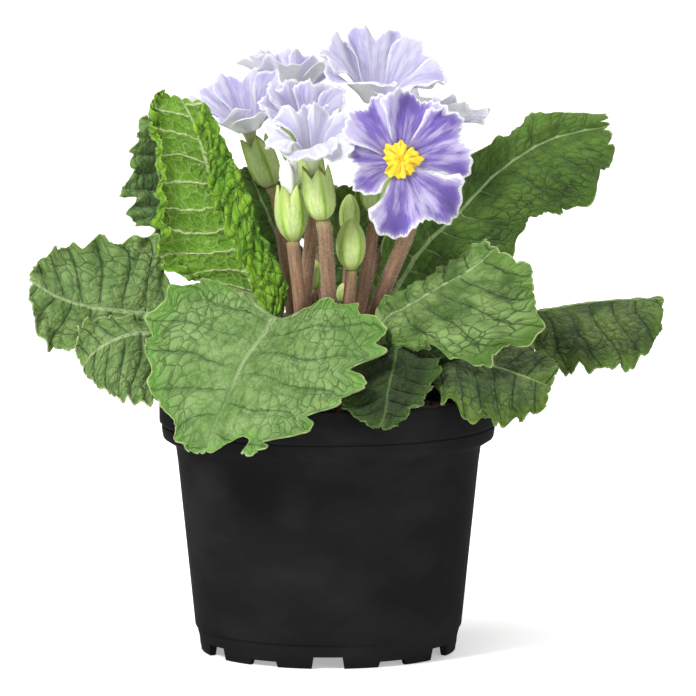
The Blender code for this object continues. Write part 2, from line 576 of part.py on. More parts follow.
def petal_surface(bloom, number, along, across):
    """Points over one petal in the frame of its bloom: base at the throat, edge ruffled."""
    angle, reach, spread, rise = bloom["petals"][number]
    phase = np.random.default_rng(bloom["seed"]).uniform(0, 2 * math.pi, 4)
    u = np.asarray(along, float)[:, None]
    v = np.asarray(across, float)[None, :]
    full = bloom["reach"] * reach
    edge = full * (1 - PETAL_NOTCH * np.exp(-(v / 0.2) ** 2) - PETAL_ROUND * np.abs(v) ** 3.5)
    radius = PETAL_FOOT + (edge - PETAL_FOOT) * u
    half = np.radians(PETAL_FOOT_SPREAD + (spread - PETAL_FOOT_SPREAD) * u)
    turn = math.radians(angle + bloom["turn"]) + v * half
    bowl = bloom["reach"] - bloom["eye_reach"]
    flat = np.clip((radius - bloom["eye_reach"]) / bowl, 0, 1.1)
    far_share = (1 + np.sin(turn)) / 2
    finish = bloom["near"] + (bloom["far"] - bloom["near"]) * far_share
    slopes = [np.radians(bloom["cup"] + (finish - bloom["cup"]) * flat * share)
              for share in ARC_SHARES]
    slope = np.radians(bloom["cup"] + (finish - bloom["cup"]) * flat)
    run = radius - bowl * flat * (1 - np.mean(np.cos(slopes), axis=0))
    height = bowl * flat * np.mean(np.sin(slopes), axis=0)
    layer = LAYER_STEP * v * np.clip(flat * 3, 0, 1) + LAYER_LEAN * v
    ruffle = sum(share * np.sin(count * turn + start)
                 for (count, share), start in zip(RUFFLE_WAVES, phase))
    lift = layer + rise * flat * (1 - v ** 2) + RUFFLE * ruffle * flat ** 2
    run = run - lift * np.sin(slope)
    height = height + lift * np.cos(slope)
    return np.stack([run * np.cos(turn), run * np.sin(turn), height], -1)


def petal_piece(name, bloom, number, axes, group):
    fine = bloom["cup"] < FINE_CUP
    full = bloom["reach"] * bloom["petals"][number][1]
    foot_share = (bloom["eye_reach"] + 0.5 - PETAL_FOOT) / (full - PETAL_FOOT)
    along = (0.0, foot_share, 0.52, 0.8, 1.0) if fine else (0.0, foot_share, 0.66, 1.0)
    across = np.linspace(-1, 1, 6 if fine else 5)
    grid = petal_surface(bloom, number, along, across) @ axes.T + np.array(bloom["eye"], float)
    shape = bmesh.new()
    bmesh.ops.create_grid(shape, x_segments=len(across) - 1, y_segments=len(along) - 1, size=1.0)
    for corner in shape.verts:
        j = round((corner.co.x + 1) / 2 * (len(across) - 1))
        i = round((corner.co.y + 1) / 2 * (len(along) - 1))
        corner.co = Vector(grid[i, j] * MM)
    bmesh.ops.triangulate(shape, faces=shape.faces)
    data = bpy.data.meshes.new(name)
    shape.to_mesh(data)
    shape.free()
    sheet = place(name, data, None, group)
    solid = sheet.modifiers.new("thickness", "SOLIDIFY")
    solid.thickness = PETAL_THICK * MM
    solid.offset = 0.0
    solid.use_even_offset = False
    return as_mesh(sheet, name, None, group)


def tube_along(name, points, radius, material, group):
    line = bpy.data.curves.new(name, "CURVE")
    line.dimensions = "3D"
    line.bevel_depth = radius * MM
    line.bevel_resolution = 1
    line.use_fill_caps = True
    spline = line.splines.new("POLY")
    spline.points.add(len(points) - 1)
    for point, spot in zip(spline.points, points):
        point.co = (spot[0] * MM, spot[1] * MM, spot[2] * MM, 1.0)
    return place(name, line, material, group)


def make_petals(name, bloom, material, group, spare):
    axes = frame_of(bloom["face"], 0)
    eye = np.array(bloom["eye"], float)
    pieces = [petal_piece(f"{name}_{number}", bloom, number, axes, spare) for number in range(5)]
    back = unit(bloom["face"])
    tube = unit(bloom["tube"])
    path = [eye + back * 0.3, eye - back * 3.0, eye - back * 4.5 - tube * 2.5,
            eye - tube * (bloom["length"] - CALYX_LENGTH + TUBE_OUT),
            eye - tube * (bloom["length"] - TUBE_SEAT)]
    neck = tube_along(f"{name}_tube", smooth_at(path, (0, 1, 2, 3, 4)), TUBE_RADIUS, None, spare)
    pieces.append(as_mesh(neck, f"{name}_tube", None, spare))
    rings = [ring_points(THROAT_RADIUS, height, RING_SIDES, axes, eye) for height in THROAT_SPAN]
    body = loft(name, rings, material, group)
    gathered = bpy.data.collections.new(f"{name}_pieces")
    for piece in pieces:
        gathered.objects.link(piece)
    join = body.modifiers.new("join", "BOOLEAN")
    join.operation = "UNION"
    join.operand_type = "COLLECTION"
    join.collection = gathered
    join.solver = "MANIFOLD"
    finished = smooth(as_mesh(body, name, material, group))
    for piece in pieces:
        bpy.data.objects.remove(piece, do_unlink=True)
    bpy.data.collections.remove(gathered)
    return finished


def make_eye(name, bloom, material, group):
    """Five-armed yellow star lying just over the foot of the petals."""
    axes = frame_of(bloom["face"], bloom["turn"] + STAR_TURN)
    star = np.where(np.arange(RING_SIDES) % 2 == 0, 1.0, STAR_WAIST)
    middle = np.array(bloom["eye"], float)
    rings = []
    for share, rise in STAR_RINGS:
        height = PETAL_THICK / 2 + STAR_LOW + rise
        rings.append(ring_points(bloom["eye_reach"] * share * star, height, RING_SIDES, axes, middle))
    return loft(name, rings, material, group)


def calyx_end(bloom):
    return np.array(bloom["eye"], float) - unit(bloom["tube"]) * bloom["length"]


def make_calyx(name, bloom, material, group):
    """Ribbed green cup with five teeth, open above so the flower tube stands in it."""
    axes = frame_of(bloom["tube"], 0)
    base = calyx_end(bloom) + unit(bloom["tube"]) * CALYX_LIFT
    tooth = np.where(np.arange(RING_SIDES) % 2 == 0, 1.0, CALYX_TOOTH)
    rings = []
    for radius, share in CALYX_OUTER + CALYX_INNER:
        height = CALYX_LENGTH * (tooth if share == 1.0 else share)
        rings.append(ring_points(radius * ribs(RING_SIDES), height, RING_SIDES, axes, base))
    return loft(name, rings, material, group)


def make_stem(name, foot, past, end, radius, material, group):
    start = np.array([foot[0], foot[1], STAND_BASE])
    points = [start, start + (0, 0, STAND_HEIGHT)] + [np.array(point, float) for point in past] + end
    last = len(points) - 1
    stations = [0.0] + list(np.linspace(1, last - 1, 2 * last - 3)) + [float(last)]
    return tube_along(name, smooth_at(points, stations), radius, material, group)


def make_bud(name, bud, material, group, is_open):
    """Ribbed green bud, shut to a point, or open above where petals show."""
    base = np.array(bud["base"], float)
    tip = np.array(bud["tip"], float)
    axes = frame_of(tip - base, BUD_TURN)
    length = np.linalg.norm(tip - base)
    outline = OPEN_BUD if is_open else SHUT_BUD
    outline = ((bud["thick"] / bud["wide"], 0.0),) + outline
    rings = []
    for radius, share in outline:
        rings.append(ring_points(radius * bud["wide"] * ribs(RING_SIDES), length * share, RING_SIDES,
                                 axes, base + axes[:, 2] * CALYX_LIFT))
    return loft(name, rings, material, group)


def make_bud_tip(name, bud, material, group):
    """The furled pale petals that stand out of the one bud that has begun to open."""
    base = np.array(bud["base"], float)
    tip = np.array(bud["tip"], float)
    axes = frame_of(tip - base, BUD_TURN)
    length = np.linalg.norm(tip - base)
    fold = np.where(np.arange(TIP_SIDES) % 2 == 0, 1.0, TIP_WAIST)
    rings = []
    for radius, share in FURLED_TIP:
        rings.append(ring_points(radius * bud["wide"] * fold, length * share, TIP_SIDES, axes, base))
    return loft(name, rings, material, group)


def build():
    start_clean()
    parts = new_collection("potted_primrose")
    cutters = new_collection("cutters")
    make_pot(parts, cutters)
    turned("soil", SOIL_PROFILE, POT_STEPS, new_material("soil", COLOURS["soil"], 0.95), parts)
    make_rootstock(parts, cutters)
    for name, leaf in LEAVES.items():
        shade = "leaf_dark" if name in DARK_LEAVES else "leaf"
        if name == "leaf_bright_left":
            shade = "leaf_bright"
        make_leaf(name, leaf, new_material(name, COLOURS[shade], 0.6), parts)
    for name, bloom in BLOOMS.items():
        title = f"bloom_{name}"
        make_petals(f"{title}_petals", bloom, new_material(f"{title}_petals", COLOURS["petals"], 0.6),
                    parts, cutters)
        make_eye(f"{title}_eye", bloom, new_material(f"{title}_eye", COLOURS["eye"], 0.6), parts)
        make_calyx(f"{title}_calyx", bloom, new_material(f"{title}_calyx", COLOURS["calyx"], 0.6), parts)
        last = calyx_end(bloom)
        end = [last - unit(bloom["tube"]) * STEM_LEAD, last]
        make_stem(f"{title}_stem", bloom["foot"], bloom["past"], end, bloom["thick"],
                  new_material(f"{title}_stem", COLOURS["stem"], 0.7), parts)
    for name, bud in BUDS.items():
        title = f"bud_{name}"
        is_open = name == "front"
        make_bud(f"{title}_calyx", bud, new_material(f"{title}_calyx", COLOURS["calyx"], 0.6), parts,
                 is_open)
        if is_open:
            make_bud_tip(f"{title}_tip", bud,
                         new_material(f"{title}_tip", COLOURS["bud_tip"], 0.6), parts)
        base = np.array(bud["base"], float)
        rise = unit(np.array(bud["tip"], float) - base) * BUD_LEAD
        make_stem(f"{title}_stem", bud["foot"], bud["past"], [base - rise, base], bud["thick"],
                  new_material(f"{title}_stem", COLOURS["stem"], 0.7), parts)
    for cutter in cutters.objects:
        cutter.hide_render = True
        cutter.display_type = "WIRE"


build()
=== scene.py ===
"""Looks of the potted primrose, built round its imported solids."""

import math

import bmesh
import bpy
import numpy as np
from mathutils import Matrix, Vector


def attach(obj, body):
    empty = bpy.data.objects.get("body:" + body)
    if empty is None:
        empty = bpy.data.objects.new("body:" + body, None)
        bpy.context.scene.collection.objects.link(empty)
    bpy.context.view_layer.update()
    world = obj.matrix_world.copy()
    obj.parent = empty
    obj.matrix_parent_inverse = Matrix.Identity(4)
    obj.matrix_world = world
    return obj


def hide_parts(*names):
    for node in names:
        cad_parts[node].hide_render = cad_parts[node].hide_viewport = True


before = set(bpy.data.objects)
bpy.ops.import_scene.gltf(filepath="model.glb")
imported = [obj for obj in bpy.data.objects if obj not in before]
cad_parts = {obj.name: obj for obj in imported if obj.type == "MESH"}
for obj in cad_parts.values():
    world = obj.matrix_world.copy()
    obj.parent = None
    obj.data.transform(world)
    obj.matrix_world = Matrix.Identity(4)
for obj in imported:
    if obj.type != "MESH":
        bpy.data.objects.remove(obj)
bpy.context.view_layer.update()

MM = 0.001
UV_SPAN = 100

# Leaves: the lines of the solids in millimetres, so that each finer leaf lies where its solid
# does. The feet of four leaves in front reach a little further, to close gaps between leaves.
# slot is the angle and the distance of a leaf's slot in the rootstock; puff is for each side.
STAND_BASE = 81.0
STAND_HEIGHT = 6.5
PETIOLE_HALF = 2.6
PETIOLE_THICK = 3.0
BLADE_THICK = 0.5
MARGIN_CUT = 0.07
PUFF_HEIGHT = 2.2
STALK_ROWS = 26
LEAVES = {
    "leaf_front_left": {
        "slot": (240, 20.5), "seed": 3, "ruffle": 1.6, "waves": 5.0, "puff": (0.9, 0.9),
        "stalk": (-12, -20, 111),
        "rib": ((-18, -24, 121), (-23, -34, 116), (-30, -47, 108), (-35, -58, 98), (-40, -65, 88),
                (-42, -69, 80)),
        "left": ((-25, -20, 126), (-48, -18, 135), (-63, -32, 123), (-63, -49, 106),
                 (-57, -57, 87), (-49, -63, 80)),
        "right": ((-10, -24, 124), (8, -24, 128), (20, -40, 117), (12, -61, 103), (-4, -71, 90),
                  (-27, -74, 80)),
    },
    "leaf_left": {
        "slot": (182, 20.5), "seed": 5, "ruffle": 1.5, "waves": 5.0, "puff": (0.8, 0.8),
        "stalk": (-38, -2, 112),
        "rib": ((-57, -4, 119), (-73, -7, 122), (-85, -10, 124), (-96, -13, 128), (-105, -16, 134)),
        "left": ((-56, 3, 130), (-60, 5, 147), (-79, 3, 148), (-96, -4, 145), (-105, -11, 138)),
        "right": ((-58, -8, 113), (-70, -12, 112), (-85, -16, 111), (-99, -20, 110), (-105, -19, 126)),
    },
    "leaf_left_low": {
        "slot": (210, 20.5), "seed": 8, "ruffle": 1.4, "waves": 5.0, "puff": (0.5, 0.9),
        "stalk": (-34, -14, 105),
        "rib": ((-54, -17, 114), (-65, -23, 116), (-74, -29, 115), (-82, -35, 111), (-86, -39, 106)),
        "left": ((-56, -13, 119), (-68, -18, 122), (-79, -23, 122), (-87, -30, 121), (-89, -37, 112)),
        "right": ((-54, -28, 103), (-59, -42, 95), (-68, -47, 94), (-77, -46, 98), (-83, -42, 102)),
    },
    "leaf_back_left_up": {
        "slot": (155, 20.5), "seed": 9, "ruffle": 1.8, "waves": 5.0, "puff": (0.6, 0.6),
        "stalk": (-29, 17, 122),
        "rib": ((-42, 18, 137), (-53, 20, 150), (-60, 22, 164), (-62, 23, 177), (-60, 23, 191)),
        "left": ((-46, 15, 135), (-65, 16, 145), (-74, 17, 157), (-72, 18, 172), (-67, 20, 189)),
        "right": ((-38, 20, 139), (-43, 24, 153), (-49, 26, 166), (-53, 26, 178), (-55, 24, 192)),
    },
    "leaf_bright_left": {
        "slot": (212, 13.0), "seed": 11, "ruffle": 0.7, "waves": 6.0, "puff": (-0.6, 1.2),
        "stalk": (-18, -8, 115),
        "rib": ((-24, -5, 127), (-30, -4, 141), (-36, -4, 156), (-42, -4, 172), (-47, -5, 188),
                (-52, -5, 198)),
        "left": ((-36, -6, 129), (-52, -6, 137), (-61, -6, 151), (-60, -6, 171), (-63, -6, 190),
                 (-60, -5, 200)),
        "right": ((-15, -4, 124), (-14.5, -4, 134), (-23, -5, 150), (-28, -6, 167), (-36, -7, 183),
                  (-43, -6, 197)),
    },
    "leaf_right_up": {
        "slot": (28, 20.5), "seed": 13, "ruffle": 1.8, "waves": 4.0, "puff": (0.8, 1.2),
        "stalk": (19, 13, 117),
        "rib": ((22, 13, 124), (33, 17, 141), (47, 19, 155), (61, 21, 169), (79, 25, 180),
                (101, 27, 185)),
        "left": ((15, 8, 127), (22, 11, 150), (42, 18, 168), (58, 22, 180), (74, 26, 190),
                 (100, 29, 189)),
        "right": ((32, 12, 120), (51, 10, 125), (67, 12, 139), (78, 16, 153), (92, 20, 156),
                  (103, 25, 175)),
    },
    "leaf_right_front": {
        "slot": (314, 20.5), "seed": 15, "ruffle": 1.5, "waves": 4.0, "puff": (0.8, 1.0),
        "stalk": (18, -22, 108),
        "rib": ((20, -24, 120), (29, -30, 127), (39, -36, 134), (50, -41, 141), (59, -44, 149)),
        "left": ((17, -19, 125), (25, -22, 131), (34, -26, 136), (45, -31, 144), (55, -40, 152)),
        "right": ((19, -31, 110.5), (35, -45, 112), (55, -57, 109), (74, -57, 120), (70, -50, 144)),
    },
    "leaf_right": {
        "slot": (4, 20.5), "seed": 17, "ruffle": 1.6, "waves": 5.0, "puff": (0.5, 0.9),
        "stalk": (46, -4, 110),
        "rib": ((68, -9, 120), (83, -11, 124), (96, -12, 126), (110, -12, 127), (119, -12, 127)),
        "left": ((69, -2, 119), (83, 5, 118), (96, 9, 119), (109, 8, 121), (118, -3, 125)),
        "right": ((68, -16, 114), (79, -28, 103), (93, -34, 105), (107, -33, 105), (118, -20, 117)),
    },
    "leaf_right_low": {
        "slot": (338, 20.5), "seed": 19, "ruffle": 1.4, "waves": 5.0, "puff": (0.8, 0.8),
        "stalk": (29, -20, 101),
        "rib": ((38, -28, 104), (48, -38, 108), (59, -47, 107), (70, -53, 104), (78, -56, 101)),
        "left": ((36, -23, 112), (52, -28, 114), (66, -32, 114), (76, -40, 112), (81, -50, 107)),
        "right": ((36, -36, 101), (41, -57, 94), (53, -64, 88), (64, -65, 89), (76, -61, 95)),
    },
    "leaf_front_low": {
        "slot": (288, 20.5), "seed": 21, "ruffle": 1.3, "waves": 4.0, "puff": (0.7, 0.7),
        "stalk": (18, -26, 101),
        "rib": ((24, -31, 114), (23, -43, 107), (21, -53, 100), (20, -63, 94), (18, -69, 89)),
        "left": ((13, -31, 113), (6, -43, 105), (3, -54, 99), (6, -62, 94), (14, -70, 90)),
        "right": ((37, -31, 114), (40, -42, 109), (37, -52, 101), (31, -62, 95), (23, -69, 89)),
    },
    "leaf_behind_stems": {
        "slot": (140, 13.0), "seed": 23, "ruffle": 1.0, "waves": 4.0, "puff": (0.5, 0.5),
        "stalk": (-10, 12, 108),
        "rib": ((-12, 16, 124), (-16, 20, 138), (-21, 25, 151), (-26, 29, 162), (-29, 31, 170)),
        "left": ((-16, 14, 124), (-23, 18, 137), (-29, 23, 150), (-32, 28, 162), (-32, 30, 169)),
        "right": ((-8, 16.5, 122), (-8.5, 23.5, 139), (-12, 29, 154), (-18, 32, 166), (-25, 32, 172)),
    },
    "leaf_back_centre": {
        "slot": (75, 13.0), "seed": 26, "ruffle": 1.0, "waves": 4.0, "puff": (0.5, 0.5),
        "stalk": (5, 17, 108),
        "rib": ((7, 21, 125), (8, 26, 137), (9, 29.5, 150), (10, 32, 163)),
        "left": ((-4, 20, 119), (-9, 26, 136), (-8, 31, 151), (2, 33, 163)),
        "right": ((15, 20.5, 120), (26, 28, 136), (28, 31, 151), (18, 32, 163)),
    },
    "leaf_back_low_left": {
        "slot": (122, 20.5), "seed": 27, "ruffle": 1.8, "waves": 4.0, "puff": (0.9, 0.9),
        "stalk": (-17, 27, 98),
        "rib": ((-23, 35, 105), (-32, 48, 109), (-42, 60, 106), (-51, 72, 97), (-56, 79, 88)),
        "left": ((-27, 33, 105), (-47, 39, 111), (-62, 52, 106), (-66, 68, 94), (-61, 77, 87)),
        "right": ((-19, 37, 105), (-19, 57, 109), (-27, 75, 101), (-39, 84, 90), (-50, 82, 86)),
    },
    "leaf_back_low": {
        "slot": (88, 20.5), "seed": 29, "ruffle": 1.8, "waves": 4.0, "puff": (0.9, 0.9),
        "stalk": (1, 31, 98),
        "rib": ((2, 39, 106), (4, 56, 110), (5, 72, 105), (6, 84, 94), (7, 90, 85)),
        "left": ((-3, 38, 106), (-15, 54, 113), (-17, 73, 106), (-9, 87, 93), (2, 92, 84)),
        "right": ((7, 38, 106), (22, 54, 112), (26, 71, 105), (20, 86, 93), (12, 92, 84)),
    },
    "leaf_back_low_right": {
        "slot": (56, 20.5), "seed": 31, "ruffle": 1.8, "waves": 4.0, "puff": (0.9, 0.9),
        "stalk": (18, 26, 98),
        "rib": ((26, 34, 106), (37, 45, 109), (49, 56, 106), (60, 67, 97), (66, 74, 88)),
        "left": ((23, 37, 106), (30, 58, 110), (38, 74, 103), (51, 80, 92), (62, 79, 86)),
        "right": ((30, 30, 106), (52, 33, 110), (69, 45, 105), (75, 60, 94), (70, 70, 87)),
    },
}

# Blooms, in millimetres as in the solids. A petal is its angle, its reach as a share of the
# bloom's, half the angle it spreads over and how much it rises.
OPEN_PETALS = ((20, 0.98, 41, 0.6), (68, 1.0, 42, -0.6), (121, 0.96, 40, -1.4), (190, 0.73, 46, 2.6),
               (289, 1.04, 53, -0.8))
CUP_PETALS = ((18, 0.98, 50, 0.6), (90, 1.02, 50, 1.2), (162, 1.0, 50, 0.4), (234, 0.94, 50, 1.2),
              (306, 1.04, 50, -0.4))
# A bloom is its eye, the way it faces and its tube goes, the reach of its petals, their slope
# at the eye (cup) and at the rim away from and toward the front (far, near), the foot of its
# stem, the points that the stem passes, and how thick the stem and how long the tube is.
BLOOM = {"petals": CUP_PETALS, "eye_reach": 4.4}
BLOOMS = {
    "front": {"eye": (25.4, -41, 179), "face": (0.10, -0.92, 0.30), "tube": (-0.10, -0.62, 0.77),
              "reach": 26.5, "cup": 14, "far": -6, "near": -6, "turn": 0, "petals": OPEN_PETALS,
              "seed": 1, "eye_reach": 7.4, "foot": (8.6, -3.4), "past": ((15.8, -8, 119),),
              "thick": 2.1, "length": 26},
    "top_right": {"eye": (17, 11, 195), "face": (0.10, -0.20, 0.97), "tube": (0.02, -0.08, 0.99),
                  "reach": 30.5, "cup": 60, "far": 60, "near": -8, "turn": 8, "seed": 2,
                  "eye_reach": 4.6, "foot": (4.2, 3.2), "past": ((11.5, 3.5, 124),),
                  "thick": 1.9, "length": 40},
    "middle": {"eye": (-9, -7, 188), "face": (-0.06, -0.28, 0.95), "tube": (-0.12, -0.04, 0.99),
               "reach": 20, "cup": 60, "far": 58, "near": 2, "turn": 40, "seed": 3,
               "foot": (-4.4, 0.8), "past": ((-8.6, -1.0, 118),), "thick": 1.9, "length": 25},
    "left": {"eye": (-28.5, 18, 184.5), "face": (-0.22, -0.16, 0.95), "tube": (-0.36, 0.02, 0.92),
             "reach": 26, "cup": 56, "far": 50, "near": -4, "turn": -4, "seed": 4,
             "foot": (-8.6, 2.6), "past": ((-13.0, 7.0, 122),), "thick": 1.9, "length": 22},
    "front_low": {"eye": (-5.5, -30.5, 179), "face": (-0.06, -0.16, 0.98),
                  "tube": (-0.16, -0.10, 0.98), "reach": 22, "cup": 76, "far": 66, "near": -60,
                  "turn": 30, "seed": 5, "eye_reach": 4.0, "foot": (-2.0, -6.2),
                  "past": ((0.4, -15.0, 120),), "thick": 2.2, "length": 22.5},
    "behind": {"eye": (-13, 40, 194), "face": (0.00, 0.10, 0.99), "tube": (-0.04, 0.16, 0.98),
               "reach": 25, "cup": 60, "far": 50, "near": 20, "turn": 30, "seed": 6,
               "foot": (-0.6, 8.2), "past": ((-1.0, 14.0, 122),), "thick": 1.8, "length": 25},
    "back_right": {"eye": (37.5, 28, 186), "face": (0.28, 0.18, 0.94), "tube": (0.30, 0.18, 0.93),
                   "reach": 20.5, "cup": 44, "far": 38, "near": 2, "turn": 14, "seed": 7,
                   "foot": (9.4, 2.4), "past": ((14.0, 14.0, 119), (20.0, 20.5, 140)),
                   "thick": 1.8, "length": 24},
}
LAYER_STEP = 2.0
LAYER_LEAN = 0.1
RUFFLE = 1.7
RUFFLE_WAVES = ((7, 1.0), (12, 0.5), (3, 0.8))
PETAL_FOOT = 2.2
PETAL_FOOT_SPREAD = 42
PETAL_NOTCH = 0.13
PETAL_ROUND = 0.2
PETAL_THICK = 0.34
ARC_SHARES = (0.1, 0.3, 0.5, 0.7, 0.9)
STAR_TURN = 8
CALYX_LENGTH = 19.0
CALYX_LIFT = 0.3
TUBE_OUT = 5.0
TUBE_SEAT = 4.5
STEM_LEAD = 7.0
BUD_LEAD = 4.0
BUD_TURN = 20
BUDS = {
    "front": {"foot": (-7.6, -4.6), "past": ((-9.6, -13, 122),), "base": (-12.2, -17, 148),
              "tip": (-13.6, -17.5, 168), "wide": 6.0, "thick": 2.0},
    "middle": {"foot": (3.4, -7.6), "past": ((6.6, -15, 118),), "base": (8.0, -19, 138),
               "tip": (8.2, -19.5, 156), "wide": 5.3, "thick": 1.8},
    "small": {"foot": (-3.6, 5.8), "past": ((-4.4, 5.2, 112),), "base": (-5.2, 3.8, 128),
              "tip": (-5.0, 3.6, 139), "wide": 3.3, "thick": 1.1},
    "tiny": {"foot": (1.0, -1.6), "past": ((4.2, -6.0, 112),), "base": (5.0, -9.0, 125),
             "tip": (5.2, -9.4, 132), "wide": 2.2, "thick": 1.0},
    "dark": {"foot": (0.2, 3.8), "past": ((5.0, 11.0, 118),), "base": (7.6, 16.0, 146),
             "tip": (7.6, 16.6, 161), "wide": 3.8, "thick": 1.3},
}


def srgb(*colour):
    """A colour given as the eye sees it, 0 to 255, made linear for the shaders."""
    shares = [value / 255 for value in colour]
    linear = [s / 12.92 if s <= 0.04045 else ((s + 0.055) / 1.055) ** 2.4 for s in shares]
    return (*linear, 1.0)


class Value:
    """A shader socket on which Python's arithmetic adds Math nodes."""

    def __init__(self, finish, socket):
        self.finish = finish
        self.socket = socket

    def math(self, operation, *others):
        return self.finish.math(operation, self, *others)

    def __add__(self, other):
        return self.math("ADD", other)

    __radd__ = __add__

    def __sub__(self, other):
        return self.math("SUBTRACT", other)

    def __rsub__(self, other):
        return self.finish.math("SUBTRACT", other, self)

    def __mul__(self, other):
        return self.math("MULTIPLY", other)

    __rmul__ = __mul__

    def __pow__(self, other):
        return self.math("POWER", other)

    def ease(self, low, high):
        """0 at low, 1 at high, smooth between."""
        return self.finish.add("ShaderNodeMapRange", {"interpolation_type": "SMOOTHSTEP"},
                               {"Value": self, "From Min": low, "From Max": high})


class Finish:
    """One material under construction."""

    def __init__(self, name):
        self.material = bpy.data.materials.new(name)
        self.material.use_nodes = True
        self.tree = self.material.node_tree
        self.shader = self.tree.nodes["Principled BSDF"]

    def add(self, kind, settings=None, values=None, output=0):
        node = self.tree.nodes.new(kind)
        for key, value in (settings or {}).items():
            setattr(node, key, value)
        for key, value in (values or {}).items():
            self.feed(node.inputs[key], value)
        return Value(self, node.outputs[output])

    def feed(self, socket, value):
        if isinstance(value, Value):
            self.tree.links.new(value.socket, socket)
        else:
            socket.default_value = value

    def math(self, operation, *values):
        return self.add("ShaderNodeMath", {"operation": operation}, dict(enumerate(values)))

    def attribute(self, name):
        return self.add("ShaderNodeAttribute", {"attribute_name": name}, output="Fac")

    def place(self):
        return self.add("ShaderNodeTexCoord", output="Object")

    def uv(self, name):
        return self.add("ShaderNodeUVMap", {"uv_map": name})

    def stretched(self, where, scale):
        return self.add("ShaderNodeMapping", {}, {"Vector": where, "Scale": scale})

    def shifted(self, where, shift):
        return self.add("ShaderNodeVectorMath", {"operation": "ADD"}, {0: where, 1: shift})

    def noise(self, where, scale, detail=2.0, roughness=0.5):
        return self.add("ShaderNodeTexNoise", {}, {"Vector": where, "Scale": scale,
                                                   "Detail": detail, "Roughness": roughness})

    def cell_edges(self, where, scale):
        """Distance to the borders of irregular cells."""
        return self.add("ShaderNodeTexVoronoi", {"feature": "DISTANCE_TO_EDGE"},
                        {"Vector": where, "Scale": scale}, output="Distance")

    def mix(self, share, first, second):
        return self.add("ShaderNodeMix", {"data_type": "RGBA"}, {0: share, 6: first, 7: second},
                        output=2)

    def over(self, colour, *coats):
        """Coats, each a share and a colour, mixed over a colour one after another."""
        for share, coat in coats:
            colour = self.mix(share, colour, coat)
        return colour

    def bump(self, height, strength, distance):
        return self.add("ShaderNodeBump", {}, {"Height": height, "Strength": strength,
                                               "Distance": distance})

    def done(self, **sockets):
        for name, value in sockets.items():
            self.feed(self.shader.inputs[name.replace("_", " ")], value)
        return self.material


def unit(vector):
    vector = np.asarray(vector, float)
    return vector / np.maximum(np.linalg.norm(vector, axis=-1, keepdims=True), 1e-9)


def ease(value, low, high):
    share = np.clip((value - low) / (high - low), 0, 1)
    return share * share * (3 - 2 * share)


def smooth_at(points, stations):
    """Points of the smooth line through the given points, at the given station numbers."""
    points = np.array(points, float)
    ends = np.vstack([2 * points[0] - points[1], points, 2 * points[-1] - points[-2]])
    stations = np.asarray(stations, float)
    index = np.clip(np.floor(stations).astype(int), 0, len(points) - 2)
    part = (stations - index)[:, None]
    a, b, c, d = ends[index], ends[index + 1], ends[index + 2], ends[index + 3]
    return 0.5 * (2 * b + (c - a) * part + (2 * a - 5 * b + 4 * c - d) * part ** 2
                  + (3 * b - a - 3 * c + d) * part ** 3)


def add_piece(name, mesh, material):
    thing = bpy.data.objects.new(name, mesh)
    bpy.context.scene.collection.objects.link(thing)
    mesh.materials.clear()
    mesh.materials.append(material)
    return thing


def finish_piece(thing, nodes):
    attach(thing, "root")
    if nodes:
        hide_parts(*nodes)
    return thing


def grid_faces(rows, columns, start, flip):
    index = start + np.arange(rows * columns).reshape(rows, columns)
    a, b = index[:-1, :-1], index[:-1, 1:]
    c, d = index[1:, 1:], index[1:, :-1]
    order = (a, d, c, b) if flip else (a, b, c, d)
    return np.stack([corner.ravel() for corner in order], 1)


def sheet(points, thick):
    """A thin closed sheet over a grid: its vertices, faces and grid order, in millimetres."""
    rows, columns, _ = points.shape
    across = np.gradient(points, axis=1)
    along = np.gradient(points, axis=0)
    normal = unit(np.cross(across, along))
    half = (thick / 2)[..., None] * normal
    spots = np.concatenate([(points + half).reshape(-1, 3), (points - half).reshape(-1, 3)])
    count = rows * columns
    faces = [grid_faces(rows, columns, 0, False), grid_faces(rows, columns, count, True)]
    index = np.arange(count).reshape(rows, columns)
    ring = np.concatenate([index[0, :], index[1:, -1], index[-1, -2::-1], index[-2:0:-1, 0]])
    after = np.roll(ring, -1)
    faces.append(np.stack([ring + count, after + count, after, ring], 1))
    return spots, np.concatenate(faces)


def mesh_from(name, spots, faces, layers, maps):
    """A smooth mesh with a number per vertex for each layer and a UV map for each map."""
    mesh = bpy.data.meshes.new(name)
    mesh.from_pydata((spots * MM).tolist(), [], faces if isinstance(faces, list) else faces.tolist())
    mesh.polygons.foreach_set("use_smooth", np.ones(len(mesh.polygons), bool))
    for key, values in layers.items():
        layer = mesh.attributes.new(key, "FLOAT", "POINT")
        layer.data.foreach_set("value", np.asarray(values, np.float32).ravel())
    corners = np.zeros(len(mesh.loops), int)
    mesh.loops.foreach_get("vertex_index", corners)
    for key, values in maps.items():
        layer = mesh.uv_layers.new(name=key)
        layer.data.foreach_set("uv", np.asarray(values, np.float32)[corners].ravel())
    mesh.update()
    return mesh


def both_sides(layers, shape):
    """Numbers given over a sheet's grid, repeated for its under side."""
    return {key: np.tile(np.broadcast_to(value, shape).ravel(), 2)
            for key, value in layers.items()}


def run_along(points):
    """Length of a line up to each of its points."""
    return np.concatenate([[0], np.cumsum(np.linalg.norm(np.diff(points, axis=0), axis=1))])


# The blades of the leaves

